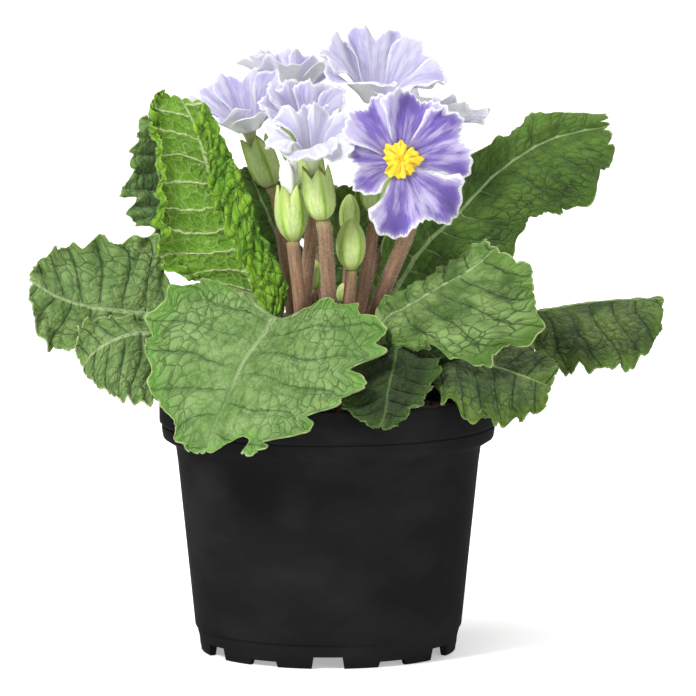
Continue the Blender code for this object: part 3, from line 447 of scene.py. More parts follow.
STATIONS_PER_POINT = 60
COLUMN_PACKING = 1.25
WIDENS_BEFORE = 0.6
WIDENS_OVER = 1.2
BLADE_OPENS = 0.16
RIB_SHARE = 0.62
RIB_TAPER = 0.85
THINNEST_STALK = 0.03
TIP_SHIFT = 0.37
NARROWEST = 7.0
DEEPEST_BITE = 0.3
VEIN_HALF = 0.9
NET_ACROSS = 1.06
NET_ALONG = 0.94
CELL_JITTER = 0.62
CELL_REACH = 0.62
SHAKE_X = (127.1, 311.7, 17.3, 43758.5453)
SHAKE_Y = (269.5, 183.3, 29.1, 24634.6345)
FACING_OUT = (0.0, -0.6, 0.8)
ROLL_EASE = 0.12


def leaf_rails(leaf):
    """Matching midrib and margin points from the foot of the stalk to the tip of the blade."""
    degrees, distance = leaf["slot"]
    angle = math.radians(degrees)
    foot = np.array([distance * math.cos(angle), distance * math.sin(angle), STAND_BASE])
    stalk = [foot, foot + (0, 0, STAND_HEIGHT), np.array(leaf["stalk"], float)]
    left, right = np.array(leaf["left"], float), np.array(leaf["right"], float)
    across_end = unit(right[0] - left[0])
    across_foot = np.array([-math.sin(angle), math.cos(angle), 0.0])
    if across_foot @ across_end < 0:
        across_foot = -across_foot
    lows, highs = [], []
    for number, point in enumerate(stalk):
        share = max(0.0, (number - 1) / (len(stalk) - 1))
        across = unit(across_foot * (1 - share) + across_end * share)
        lows.append(point - across * PETIOLE_HALF)
        highs.append(point + across * PETIOLE_HALF)
    return [*stalk, *leaf["rib"]], [*lows, *left], [*highs, *right], len(stalk)


def dense_rails(leaf):
    """The rails as smooth lines, with the rib's direction, the blade's normal and the run."""
    middle, left, right, start = leaf_rails(leaf)
    last = len(middle) - 1
    stations = np.linspace(0, last, STATIONS_PER_POINT * last + 1)
    rib, low, high = (smooth_at(rail, stations) for rail in (middle, left, right))
    along = unit(np.gradient(rib, axis=0))
    normal = unit(np.cross(high - low, along))
    return stations, rib, low, high, along, normal, run_along(rib), start, last


def sample(stations, values, at):
    return np.stack([np.interp(at, stations, column) for column in values.T], -1)


def shaken(x, y, seed, factors):
    """A number from -0.5 to 0.5 for each cell, which looks random but is fixed."""
    by_x, by_y, by_seed, scale = factors
    mixed = np.sin(x * by_x + y * by_y + seed * by_seed) * scale
    return mixed - np.floor(mixed) - 0.5


def nearest(across, lengthways, size, seed):
    """Distance to the nearest of jittered points, one in each cell of a square grid."""
    base_x = np.floor(across / size).astype(int)
    base_y = np.floor(lengthways / size).astype(int)
    best = np.full(across.shape, np.inf)
    for dx, dy in np.ndindex(3, 3):
        x, y = base_x + dx - 1, base_y + dy - 1
        px = (x + 0.5 + CELL_JITTER * shaken(x, y, seed, SHAKE_X)) * size
        py = (y + 0.5 + CELL_JITTER * shaken(x, y, seed, SHAKE_Y)) * size
        best = np.minimum(best, np.hypot(across - px, lengthways - py))
    return best


def turn_about(vector, axis, angle):
    cosine, sine = np.cos(angle)[:, None], np.sin(angle)[:, None]
    dot = (vector * axis).sum(1, keepdims=True)
    return vector * cosine + np.cross(axis, vector) * sine + axis * dot * (1 - cosine)


def notch(value, middle, width):
    """1 at the middle of a notch, 0 beside it."""
    return np.exp(-np.abs((value - middle) / width) ** 3)


def leaf_grid(leaf, look):
    """Points of a fine leaf with the numbers that its finish reads."""
    stations, rib, low, high, along, normal, run, start, last = dense_rails(leaf)
    phases = np.random.default_rng(leaf["seed"]).uniform(0, 2 * math.pi, 8)

    # The grid: rows from the foot to the tip, columns from margin to margin
    line = np.concatenate([np.linspace(0, start, STALK_ROWS, endpoint=False),
                           start + (last - start) * np.linspace(0, 1, look["rows"])])
    extent = look.get("extent", (1.0, 1.0))
    share = 1 - (1 - np.linspace(0, 1, look["columns"])) ** COLUMN_PACKING
    s = np.concatenate([-share[:0:-1] * extent[0], share * extent[1]])
    limit = np.where(s < 0, *extent)
    blade_row = np.clip((line - start) / (last - start), 0, 1)[:, None]
    far = np.abs(s) / limit * (1 + (limit - 1) * ease(blade_row, 0.0, BLADE_OPENS))
    far_in = np.minimum(far, 1.0)
    tip_saw = np.sin(math.pi * (s * look["tip_teeth"] + TIP_SHIFT * leaf["seed"]))
    tip_cut = look["tip_tooth"] * (1 - np.abs(tip_saw) ** 0.5)
    for middle, width, depth in look.get("tip_cuts", ()):
        tip_cut += depth * notch(s, middle, width)
    at = line[:, None] - (last - start) * tip_cut * blade_row ** 3
    rib_at, low_at, high_at, normal_at = (sample(stations, rail, at)
                                          for rail in (rib, low, high, normal))
    run_at = np.interp(at, stations, run)
    blade = np.clip((at - start) / (last - start), 0, 1)
    full = np.clip((at - start + WIDENS_BEFORE) / WIDENS_OVER, 0, 1)
    side = np.broadcast_to(np.where(s < 0, 0, 1), at.shape)

    # The margin: how far each column reaches, with its teeth and cuts
    turn = 2 * math.pi * leaf["waves"] * blade
    edge = np.where(side[..., None] == 0, low_at, high_at)
    width_mm = np.linalg.norm(edge - rib_at, axis=-1)
    teeth = np.sin(1.6 * turn + phases[side + 4])
    reach = far * (1 + 0.7 * MARGIN_CUT * teeth * far_in ** 3 * full)
    saw = blade * look["teeth"] + 0.4 * np.sin(turn * 0.7 + side * 2.0 + phases[5])
    uneven = 0.75 + 0.45 * np.sin(saw * 1.9 + phases[side + 2])
    lobe = (1 - np.abs(np.sin(math.pi * saw)) ** 0.5) * uneven
    small = 1 - np.abs(np.sin(math.pi * (saw * 3.1 + 0.3 * side))) ** 0.8
    bite = (look["tooth"] * lobe + look["small"] * small) / np.maximum(width_mm, NARROWEST)
    reach = reach * (1 - np.minimum(bite, DEEPEST_BITE) * far_in ** 8 * full)
    for which, middle, width, depth in look.get("cuts", ()):
        dent = depth * notch(blade, middle, width) * far_in ** 3
        reach = reach * (1 - dent * (side == which) * full)

    # The blade: waved toward its margin, puffed between rib and margin, rolled where it is
    wave = np.sin(turn + phases[side]) + 0.4 * np.sin(1.9 * turn + phases[side + 2])
    lift = look["wavy"] * leaf["ruffle"] * wave * far_in ** 2.2 * full
    lift = lift + look["frill"] * np.sin(turn * 2.7 + phases[side + 4]) * far_in ** 5 * full
    puff = np.where(side == 0, *leaf["puff"]) * np.sin(math.pi * far_in)
    points = rib_at + (edge - rib_at) * reach[..., None]
    points += normal_at * (lift + puff * PUFF_HEIGHT * full)[..., None]
    points = roll_over(points, sample(stations, along, line), s, far, blade, look.get("rolls", ()))

    # The relief: sunken veins, swelling between them and a net of small domes
    across_mm = far * width_mm * np.where(side == 0, -1, 1)
    step = look["vein_step"]
    drift = look["sweep"] * width_mm * far_in ** 1.25
    wander = 0.16 * np.sin(0.21 * across_mm + phases[6]) * np.sin(0.13 * run_at + phases[7])
    order = (run_at - drift) / step + 0.47 * side + wander
    between = order - np.floor(order)
    gap = np.minimum(between, 1 - between) * step
    groove = np.exp(-(gap / VEIN_HALF) ** 2) * ease(far, 0.02, 0.1) * (1 - 0.5 * far_in ** 3)
    rib_width = 0.35 + look["rib"] * (1 - blade) ** 1.6
    midrib = np.exp(-(across_mm / rib_width) ** 2) * full
    net_across, net_along = across_mm * NET_ACROSS, order * step * NET_ALONG
    near = nearest(net_across, net_along, look["cell"], leaf["seed"])
    dome = 1 - np.clip(near / (CELL_REACH * look["cell"]), 0, 1) ** 2
    swell = np.sin(math.pi * between) ** 0.7 - 0.5
    fade = full * (1 - 0.5 * far_in ** 6) * ease(far, 0.0, 0.12)
    relief = look["swell"] * swell * fade * (1 - far_in ** 4) + look["dome"] * (dome - 0.5) * fade
    relief = relief - look["groove"] * (groove * full + 0.9 * midrib)
    folded = look.get("crimp", 0.0) * ease(far, 0.74, 0.95) * full
    relief = relief + folded * (dome - 0.5 + 0.4 * np.sin(order * 9.0 + across_mm * 0.8))
    facing = 1.0 if (normal_at * FACING_OUT).sum(-1)[full > 0.9].mean() > 0 else -1.0
    facing = facing * look.get("upward", 1)
    relief = relief * facing
    normal_here = unit(np.cross(np.gradient(points, axis=1), np.gradient(points, axis=0)))
    points = points + normal_here * (relief * full)[..., None]

    # The thickness, and what the finish reads
    stalk_thick = PETIOLE_THICK * np.sqrt(np.maximum(1 - far_in ** 2, THINNEST_STALK))
    rib_rise = PETIOLE_THICK * RIB_SHARE - BLADE_THICK
    rib_thick = BLADE_THICK + rib_rise * (1 - RIB_TAPER * blade) * midrib
    thick = stalk_thick * (1 - full) + rib_thick * full
    length_mm = run[-1] - np.interp(start, stations, run)
    margin = np.minimum((1 - far / limit) * width_mm * limit, (1 - blade_row) * length_mm + 0.1)
    # bulge is read only for the painted shade in the hollows between swellings
    layers = {"across": across_mm, "order": order, "step": step, "margin": margin,
              "far": far, "blade": blade, "stalk": 1 - ease(blade, 0.0, 0.05),
              "bulge": (swell * 0.5 + dome - 0.5) * fade}
    return points, thick, layers, np.stack([net_across, net_along], -1) / UV_SPAN, facing


def roll_over(points, along, s, far, blade, rolls):
    """Turns stretches of the margin over. A roll is side, from and to along the blade, where it
    starts and is complete across the blade, and how many degrees it turns."""
    if not rolls:
        return points
    rolled = points.copy()
    centre = int(np.argmin(np.abs(s)))
    for side, step, final_column in ((0, -1, -1), (1, 1, len(s))):
        own_rolls = [roll[1:] for roll in rolls if roll[0] == side]
        for inner in range(centre, final_column - step, step):
            outer = inner + step
            angle = np.zeros(len(points))
            for first, final, begin, complete, degrees in own_rolls:
                width = min(ROLL_EASE, (final - first) * 0.4)
                here = ease(blade[:, outer], first, first + width)
                here = here * (1 - ease(blade[:, outer], final - width, final))
                angle += math.radians(degrees) * here * ease(far[:, outer], begin, complete)
            piece = points[:, outer] - points[:, inner]
            rolled[:, outer] = rolled[:, inner] + turn_about(piece, -step * along, angle)
    return rolled


# How each leaf is finished. cuts are side, place along the blade, width and depth; tip_cuts are
# place across, width and depth; rolls are as roll_over takes them; extent is how far past the
# margins of the solid each side reaches before it is rolled.
LEAF_LOOK = {"rows": 120, "columns": 31, "teeth": 9, "tooth": 2.4, "small": 0.7, "tip_teeth": 2.2,
             "tip_tooth": 0.03, "wavy": 0.65, "frill": 0.4, "vein_step": 9.0, "sweep": 0.45,
             "cell": 3.0, "swell": 0.7, "dome": 0.24, "groove": 0.25, "rib": 1.0}
LEAF_LOOKS = {
    "leaf_front_left": {"rows": 150, "columns": 46, "vein_step": 12.0, "sweep": 0.3, "cell": 4.0,
                        "swell": 0.45, "groove": 0.3, "rib": 1.6, "tip_teeth": 2.6,
                        "cuts": ((0, 0.775, 0.045, 0.27), (1, 0.52, 0.03, 0.14),
                                 (1, 0.74, 0.03, 0.2), (1, 0.9, 0.03, 0.16)),
                        "tip_cuts": ((0.38, 0.2, 0.13),),
                        "rolls": ((0, 0.9, 1.1, 0.7, 1.0, -70),), "finish": "pale"},
    "leaf_left": {"rows": 130, "columns": 40, "vein_step": 7.4, "sweep": 0.35, "cell": 3.2,
                  "swell": 0.9, "groove": 0.2, "teeth": 8, "tooth": 2.6,
                  "cuts": ((0, 0.42, 0.04, 0.12), (0, 0.62, 0.03, 0.1)), "finish": "grey"},
    "leaf_left_low": {"rows": 100, "columns": 32, "vein_step": 7.0, "cell": 3.2, "swell": 0.8,
                      "groove": 0.2, "teeth": 8, "finish": "grey"},
    "leaf_back_left_up": {"rows": 112, "columns": 32, "vein_step": 6.0, "swell": 1.2,
                          "tooth": 3.4, "small": 1.4, "frill": 1.4, "teeth": 7,
                          "cuts": ((0, 0.3, 0.035, 0.4), (0, 0.5, 0.04, 0.36), (0, 0.68, 0.03, 0.26)),
                          "finish": "shaded"},
    "leaf_bright_left": {"rows": 150, "columns": 60, "vein_step": 8.4, "sweep": 0.12, "cell": 3.4,
                         "swell": 0.5, "dome": 0.2, "groove": 0.3, "upward": -1, "rib": 2.2,
                         "extent": (1.2, 2.0), "teeth": 12, "tooth": 1.2, "crimp": 1.1,
                         "rolls": ((1, -0.2, 1.2, 0.72, 1.04, 165), (0, 0.25, 1.2, 0.94, 1.1, 150)),
                         "finish": "bright"},
    "leaf_right_up": {"rows": 140, "columns": 40, "vein_step": 10.0, "sweep": 0.5, "cell": 3.6,
                      "swell": 0.8, "groove": 0.25, "teeth": 8, "tooth": 4.2, "small": 1.0,
                      "cuts": ((1, 0.5, 0.07, 0.16), (0, 0.7, 0.05, 0.16), (0, 0.45, 0.04, 0.12)),
                      "finish": "dark"},
    "leaf_right_front": {"rows": 130, "columns": 40, "cell": 3.6, "finish": "front",
                         "swell": 0.8, "dome": 0.35, "groove": 0.35, "frill": 0.9,
                         "tooth": 2.8, "cuts": ((1, 0.3, 0.04, 0.16), (1, 0.62, 0.04, 0.14)),
                         "rolls": ((1, 0.05, 0.3, 0.8, 1.0, -60),)},
    "leaf_right": {"columns": 36, "vein_step": 8.0, "swell": 0.9, "finish": "mid", "tooth": 2.8},
    "leaf_right_low": {"columns": 36, "vein_step": 8.0, "finish": "mid",
                       "cuts": ((1, 0.3, 0.05, 0.22), (1, 0.55, 0.05, 0.2), (1, 0.75, 0.04, 0.16))},
    "leaf_front_low": {"rows": 100, "columns": 32, "vein_step": 7.0, "finish": "low"},
    "leaf_behind_stems": {"rows": 80, "columns": 22, "finish": "dark"},
    "leaf_back_centre": {"rows": 80, "columns": 22, "finish": "dark"},
    "leaf_back_low_left": {"rows": 80, "columns": 26, "finish": "mid"},
    "leaf_back_low": {"rows": 80, "columns": 26, "finish": "mid"},
    "leaf_back_low_right": {"rows": 80, "columns": 26, "finish": "mid"},
}


SHADE_NUMBERS = {"vein_share": 0.66, "net_share": 0.85, "margin_share": 0.5, "net_scale": 26.0,
                 "vein_from": 0.5, "vein_to": 0.08, "rib_half": 1.0, "rib_end": 1.3,
                 "side_pale": 0.5, "dust_share": 0.42, "net_under": 0.45}
SHADE_COLOURS = {"under_vein": (186, 208, 142), "rim": (190, 210, 140), "midrib": (182, 206, 146),
                 "stalk": (168, 192, 128), "dust": (168, 196, 140)}


def leaf_shades(light, deep, hollow_shade, vein, under, margin, **more):
    """Colours and numbers of one leaf finish, the usual ones where no others are given."""
    paler = tuple(min(255, round(value * 1.12 + 10)) for value in under)
    made = {**SHADE_NUMBERS, **SHADE_COLOURS, "light": light, "deep": deep, "hollow_shade": hollow_shade,
            "vein": vein, "under": under, "under_light": paler, "margin": margin, **more}
    return {key: srgb(*value) if isinstance(value, tuple) else value
            for key, value in made.items()}


LEAF_SHADES = {
    "pale": leaf_shades((154, 188, 114), (121, 160, 82), (54, 92, 28), (60, 98, 34),
                        (120, 154, 88), (110, 172, 50), rib_half=0.9, rib_end=0.62),
    "grey": leaf_shades((150, 182, 108), (114, 150, 78), (42, 72, 22), (40, 68, 22),
                        (106, 138, 78), (124, 160, 76), vein_share=0.7, rib_half=0.6),
    # Darker copies of the leaf colours, midrib and rim included: painted shade for the leaves at the
    # right and at the back.
    "mid": leaf_shades((100, 128, 52), (44, 72, 18), (16, 36, 6), (22, 46, 8), (86, 116, 52),
                       (104, 140, 42), rib_half=0.5, dust_share=0.2, midrib=(140, 168, 96),
                       rim=(146, 174, 92), side_pale=0.3, dust=(118, 148, 70)),
    "dark": leaf_shades((102, 140, 52), (68, 104, 30), (24, 48, 8), (114, 148, 80),
                        (76, 106, 46), (96, 136, 40), dust_share=0.22),
    "shaded": leaf_shades((126, 158, 98), (92, 126, 68), (44, 74, 30), (148, 178, 120),
                          (92, 124, 66), (124, 166, 72), vein_share=0.5, rib_half=0.6),
    # Darker still, the pale midrib too: painted shade for the low front leaf.
    "low": leaf_shades((50, 76, 20), (32, 54, 10), (12, 30, 2), (22, 44, 6), (66, 96, 36),
                       (76, 112, 28), rib_half=0.2, dust_share=0.12, midrib=(88, 118, 54),
                       rim=(104, 136, 64), side_pale=0.1, stalk=(110, 140, 76),
                       dust=(90, 118, 50)),
    "bright": leaf_shades((148, 196, 44), (106, 162, 20), (38, 86, 2), (60, 114, 10),
                          (94, 140, 26), (150, 198, 50), margin_share=0.3, rib_half=1.5,
                          rim=(150, 194, 56), under_vein=(196, 218, 150), net_under=0.42,
                          midrib=(196, 220, 152), vein_from=0.52, vein_to=0.1),
    "front": leaf_shades((150, 182, 104), (74, 108, 40), (34, 64, 14), (40, 70, 20),
                         (112, 146, 80), (104, 150, 44), rib_half=0.5, dust_share=0.3),
}


def leaf_finish(name, shades):
    """Wrinkled primrose leaf: upper side with a fine sunken net, painted shade in its hollows and
    along the net, speckles of dust and painted sheen; paler under side, pale rim.
    """
    finish = Finish(name)
    upper, order, across, margin, far, blade, bulge, stalk = map(
        finish.attribute, ("upper", "order", "across", "margin", "far", "blade", "bulge", "stalk"))
    flat = finish.uv("flat")
    broad = finish.noise(flat, 6.0, 3.0)
    fine = finish.noise(flat, 160.0, 3.0, 0.6)
    dust = finish.noise(flat, 420.0)
    grain = finish.noise(flat, 900.0)
    wander = (finish.noise(flat, 30.0) - 0.5) * 0.16
    to_edge = finish.cell_edges(finish.shifted(flat, wander * 0.06), shades["net_scale"])
    small_edge = finish.cell_edges(finish.shifted(flat, wander * 0.04), shades["net_scale"] * 2.1)
    turn = order + wander * 1.4
    gap = 0.5 - (turn - turn.math("FLOOR") - 0.5).math("ABSOLUTE")
    vein = (gap * finish.attribute("step")).ease(shades["vein_from"], shades["vein_to"])
    vein = vein * far.ease(0.0, 0.06)
    outward = far.ease(0.1, 0.8) * 0.7 + 0.3
    net = 1 - to_edge.ease(0.01, 0.08)
    small_net = 1 - small_edge.ease(0.01, 0.08)
    fine_net = 1 - to_edge.ease(0.0, 0.035)
    upside = finish.over(
        finish.mix(broad.ease(0.32, 0.68), shades["deep"], shades["light"]),
        # painted shade: darker where the blade dips between swellings, along the small and the sunken
        # net, and in fine pits (the grain coat below too)
        ((0.35 - bulge * 0.6).ease(0.0, 1.0) * 0.7, shades["hollow_shade"]),
        (small_net * 0.16, shades["hollow_shade"]),
        (net * outward * shades["net_share"], shades["hollow_shade"]),
        (margin.ease(9.0, 1.0) * shades["margin_share"], shades["margin"]),
        (vein * shades["vein_share"], shades["vein"]),
        # pale speckles: dust, and painted sheen
        (dust.ease(0.54, 0.7) * shades["dust_share"], shades["dust"]),
        (grain.ease(0.5, 0.34) * 0.3, shades["hollow_shade"]))
    under = finish.over(
        finish.mix(broad.ease(0.3, 0.7), shades["under"], shades["under_light"]),
        (small_net * 0.14 + fine_net * shades["net_under"], shades["under_vein"]),
        (vein, shades["under_vein"]))
    rib_half = 0.35 + (1 - blade) ** 1.6 * shades["rib_half"]
    midrib = 1 - (across.math("ABSOLUTE") - rib_half).ease(-0.2, 0.3)
    midrib = midrib * (1 - blade.ease(shades["rib_end"] - 0.3, shades["rib_end"]) * 0.85)
    side_pale = vein * far.ease(0.35, 0.05) * blade.ease(0.6, 0.3) * shades["side_pale"]
    colour = finish.over(
        under,
        (upper, upside),
        (margin.ease(0.75, 0.3) * 0.75, shades["rim"]),
        (midrib.math("MAXIMUM", side_pale) * 0.9, shades["midrib"]),
        (stalk, shades["stalk"]))
    cushion = to_edge.ease(0.0, 0.3) + small_edge.ease(0.0, 0.25) * 0.4 - vein * 0.8
    height = (upper * 2 - 1) * cushion + fine * 0.5 + dust * 0.35 + grain * 0.2
    return finish.done(Base_Color=colour, Roughness=0.5 + 0.12 * fine + 0.1 * net,
                       Normal=finish.bump(height, 0.85, 0.00075), Specular_IOR_Level=0.32,
                       Sheen_Weight=0.08, Sheen_Roughness=0.4, Subsurface_Weight=0.08,
                       Subsurface_Scale=0.002)


def make_leaves():
    finishes = {key: leaf_finish(f"leaf_{key}", shades) for key, shades in LEAF_SHADES.items()}
    for name, leaf in LEAVES.items():
        look = {**LEAF_LOOK, **LEAF_LOOKS[name]}
        points, thick, layers, flat, facing = leaf_grid(leaf, look)
        spots, faces = sheet(points, thick)
        layers = both_sides(layers, thick.shape)
        front = 1.0 if facing > 0 else 0.0
        layers["upper"] = np.repeat([front, 1 - front], thick.size)
        uv = np.tile(flat.reshape(-1, 2), (2, 1))
        mesh = mesh_from(f"{name}_fine", spots, faces, layers, {"flat": uv})
        thing = add_piece(f"{name}_fine", mesh, finishes[look["finish"]])
        finish_piece(thing, [name])


FLOOR_HALF = 6.0
BACKGROUND_LIGHT = 0.3
BACKGROUND_SEEN = 1.1
LAMPS = (("key", (-1.5, -1.4, 2.0), 0.6, 66.0), ("fill", (1.2, -1.9, 0.6), 1.0, 11.0),
         ("top", (0.3, 0.7, 1.8), 0.9, 18.0))
LAMP_AIM = (0, 0, 0.12)
CAMERA_PLACE = (0.00701, -2.4, 0.412)
CAMERA_AIM = (0.00701, 0.0, 0.108)
CAMERA_LENS = 351.5
CAMERA_SENSOR = 36.0


def add_facing(name, data, place, aim):
    """A lamp or camera at its place, turned toward what it looks at."""
    thing = bpy.data.objects.new(name, data)
    thing.location = place
    thing.rotation_euler = (Vector(aim) - Vector(place)).to_track_quat("-Z", "Y").to_euler()
    bpy.context.scene.collection.objects.link(thing)
    return thing


def grey(level):
    return (level, level, level, 1.0)


def make_floor():
    """A white floor that glows toward the camera and fades out of sight with distance."""
    mesh = bpy.data.meshes.new("floor")
    corners = ((-1, -1), (1, -1), (1, 1), (-1, 1))
    mesh.from_pydata([(x * FLOOR_HALF, y * FLOOR_HALF, 0) for x, y in corners], [], [(0, 1, 2, 3)])
    finish = Finish("floor_white")
    away = finish.add("ShaderNodeVectorMath", {"operation": "LENGTH"}, {0: finish.place()},
                      output="Value")
    seen = finish.add("ShaderNodeLightPath", output="Is Camera Ray")
    glow = finish.mix(away.ease(0.15, 1.6), grey(0.40), grey(0.95))
    glow = finish.mix(seen, grey(0.12), glow)
    floor = add_piece("floor", mesh, finish.done(Base_Color=grey(0.9), Roughness=0.9,
                                                 Emission_Color=glow, Emission_Strength=1.0))


def make_world():
    """A white surround that shines less than it shows."""
    world = bpy.data.worlds.new("studio")
    bpy.context.scene.world = world
    world.use_nodes = True
    nodes, links = world.node_tree.nodes, world.node_tree.links
    nodes.clear()
    path, mixed, out = (nodes.new(f"ShaderNode{kind}")
                        for kind in ("LightPath", "MixShader", "OutputWorld"))
    links.new(path.outputs["Is Camera Ray"], mixed.inputs[0])
    for socket, strength in ((1, BACKGROUND_LIGHT), (2, BACKGROUND_SEEN)):
        white = nodes.new("ShaderNodeBackground")
        white.inputs["Color"].default_value = grey(1.0)
        white.inputs["Strength"].default_value = strength
        links.new(white.outputs[0], mixed.inputs[socket])
    links.new(mixed.outputs[0], out.inputs["Surface"])


def stage_and_camera():
    make_floor()
    make_world()
    for name, place, size, power in LAMPS:
        lamp = bpy.data.lights.new(name, "AREA")
        lamp.size = size
        lamp.energy = power
        add_facing(name, lamp, place, LAMP_AIM)
    camera = bpy.data.cameras.new("camera")
    camera.sensor_width = camera.sensor_height = CAMERA_SENSOR
    camera.lens = CAMERA_LENS
    camera.clip_start = 0.1
    camera.clip_end = 50.0
    bpy.context.scene.camera = add_facing("camera", camera, CAMERA_PLACE, CAMERA_AIM)
    bpy.context.scene.view_settings.view_transform = "Standard"


# Turned and lofted pieces


def turns_of(sides):
    """Evenly spaced angles once round."""
    return np.arange(sides) * 2 * math.pi / sides


def round_ring(spread, turns, rise):
    """Points round the upright axis at the given distances and heights."""
    return np.stack([spread * np.cos(turns), spread * np.sin(turns), rise + 0 * turns], 1)


def five_points(turns):
    """For each angle the nearest of five points round the axis, and 1 on it to 0 midway."""
    cycle = 5 * turns / (2 * math.pi)
    return np.round(cycle).astype(int) % 5, np.abs(cycle - np.floor(cycle) - 0.5) * 2


def frame_of(direction, turn):
    """Three square axes, the third along the given direction."""
    forward = unit(direction)
    up = np.array([0.0, 0.0, 1.0]) if abs(forward[2]) < 0.9 else np.array([0.0, 1.0, 0.0])
    side = unit(np.cross(up, forward))
    top = np.cross(forward, side)
    angle = math.radians(turn)
    first = side * math.cos(angle) + top * math.sin(angle)
    second = -side * math.sin(angle) + top * math.cos(angle)
    return np.stack([first, second, forward], 1)


def ring_quads(count, sides):
    """Point numbers of rings, the same moved on by one, and the faces between the rings."""
    index = np.arange(count * sides).reshape(count, sides)
    after = np.roll(index, -1, axis=1)
    quads = np.stack([index[:-1], after[:-1], after[1:], index[1:]], -1).reshape(-1, 4)
    return index, after, quads


def loft(rings):
    """A closed body through matching rings, each end drawn in to one point."""
    rings = np.asarray(rings, float)
    count, sides, _ = rings.shape
    spots = np.concatenate([rings.reshape(-1, 3), rings[0].mean(0)[None], rings[-1].mean(0)[None]])
    index, after, quads = ring_quads(count, sides)
    faces = quads.tolist()
    first, last = count * sides, count * sides + 1
    faces += [[first, int(b), int(a)] for a, b in zip(index[0], after[0])]
    faces += [[last, int(a), int(b)] for a, b in zip(index[-1], after[-1])]
    return spots, faces


def joined(parts):
    """Several (vertices, faces, layers, flat map) as one."""
    spots, faces, layers, flats, start = [], [], {}, [], 0
    for part_spots, part_faces, part_layers, flat in parts:
        spots.append(part_spots)
        faces += [[corner + start for corner in face] for face in part_faces]
        for key, values in part_layers.items():
            layers.setdefault(key, []).append(np.broadcast_to(values, len(part_spots)))
        flats.append(flat)
        start += len(part_spots)
    layers = {key: np.concatenate(values) for key, values in layers.items()}
    return np.concatenate(spots), faces, layers, np.concatenate(flats)


def tidy_normals(mesh):
    shape = bmesh.new()
    shape.from_mesh(mesh)
    bmesh.ops.recalc_face_normals(shape, faces=shape.faces)
    shape.to_mesh(mesh)
    shape.free()


def lofted_piece(name, rings, layers, material):
    """layers hold a number for each point of the rings, or a row or column that stands for all;
    the end points take the mean of their ring."""
    rings = np.asarray(rings, float)
    spots, faces = loft(rings)
    count, sides, _ = rings.shape
    turns = np.broadcast_to(np.arange(sides) / sides, (count, sides))
    middle = rings.mean(1)
    run = np.broadcast_to(run_along(middle)[:, None], turns.shape)
    width = np.linalg.norm(rings - middle[:, None], axis=-1).mean()
    flat = np.stack([turns * 2 * math.pi * width, run], -1)
    flat = np.concatenate([flat.reshape(-1, 2), flat[0].mean(0)[None], flat[-1].mean(0)[None]])
    full = {}
    for key, values in layers.items():
        values = np.broadcast_to(values, (count, sides)).astype(float)
        full[key] = np.concatenate([values.ravel(), [values[0].mean(), values[-1].mean()]])
    mesh = mesh_from(name, spots, faces, full, {"flat": flat / UV_SPAN})
    tidy_normals(mesh)
    return add_piece(name, mesh, material)


def path_rings(points, radii, sides, flute=0.0, lobes=5):
    """Rings square to a path, with no twist along it. flute deepens grooves along the sides."""
    points = np.asarray(points, float)
    tangent = unit(np.gradient(points, axis=0))
    side = unit(np.cross(tangent[0], (0.31, 0.2, 0.93) if abs(tangent[0][2]) < 0.9 else (0, 1, 0)))
    turns = turns_of(sides)
    rings = []
    for spot, forward, radius in zip(points, tangent, radii):
        side = unit(side - forward * (side @ forward))
        other = np.cross(forward, side)
        reach = radius * (1 + flute * np.cos(lobes * turns))
        rings.append(spot + np.outer(reach * np.cos(turns), side)
                     + np.outer(reach * np.sin(turns), other))
    return np.array(rings)


# Blooms

# What differs between the open front bloom and the pale cupped ones: rows and columns, broad
# and fine scallops of the margin, and how late the ruffle and the frill set in toward it
OPEN_PETAL = {"grid": (40, 52), "scallop": 0.045, "nicks": 0.022, "ruffle_power": 2,
              "frill_power": 4}
PALE_PETAL = {"grid": (32, 44), "scallop": 0.022, "nicks": 0.012, "ruffle_power": 2.6,
              "frill_power": 6}
FLAT_CUP = 20
FRILL = 0.9
FOLD_DEEP = 5.0
FOLD_WAVE = 3.6
FOLD_WIDTH = 0.22
SHADED_FROM = 0.55
RIM_FADE = 3.0
RIM_CURL = 0.9
PALE_SHARE = (0.0, 0.72, 0.62, 0.58, 1.1, 0.5, 0.85)


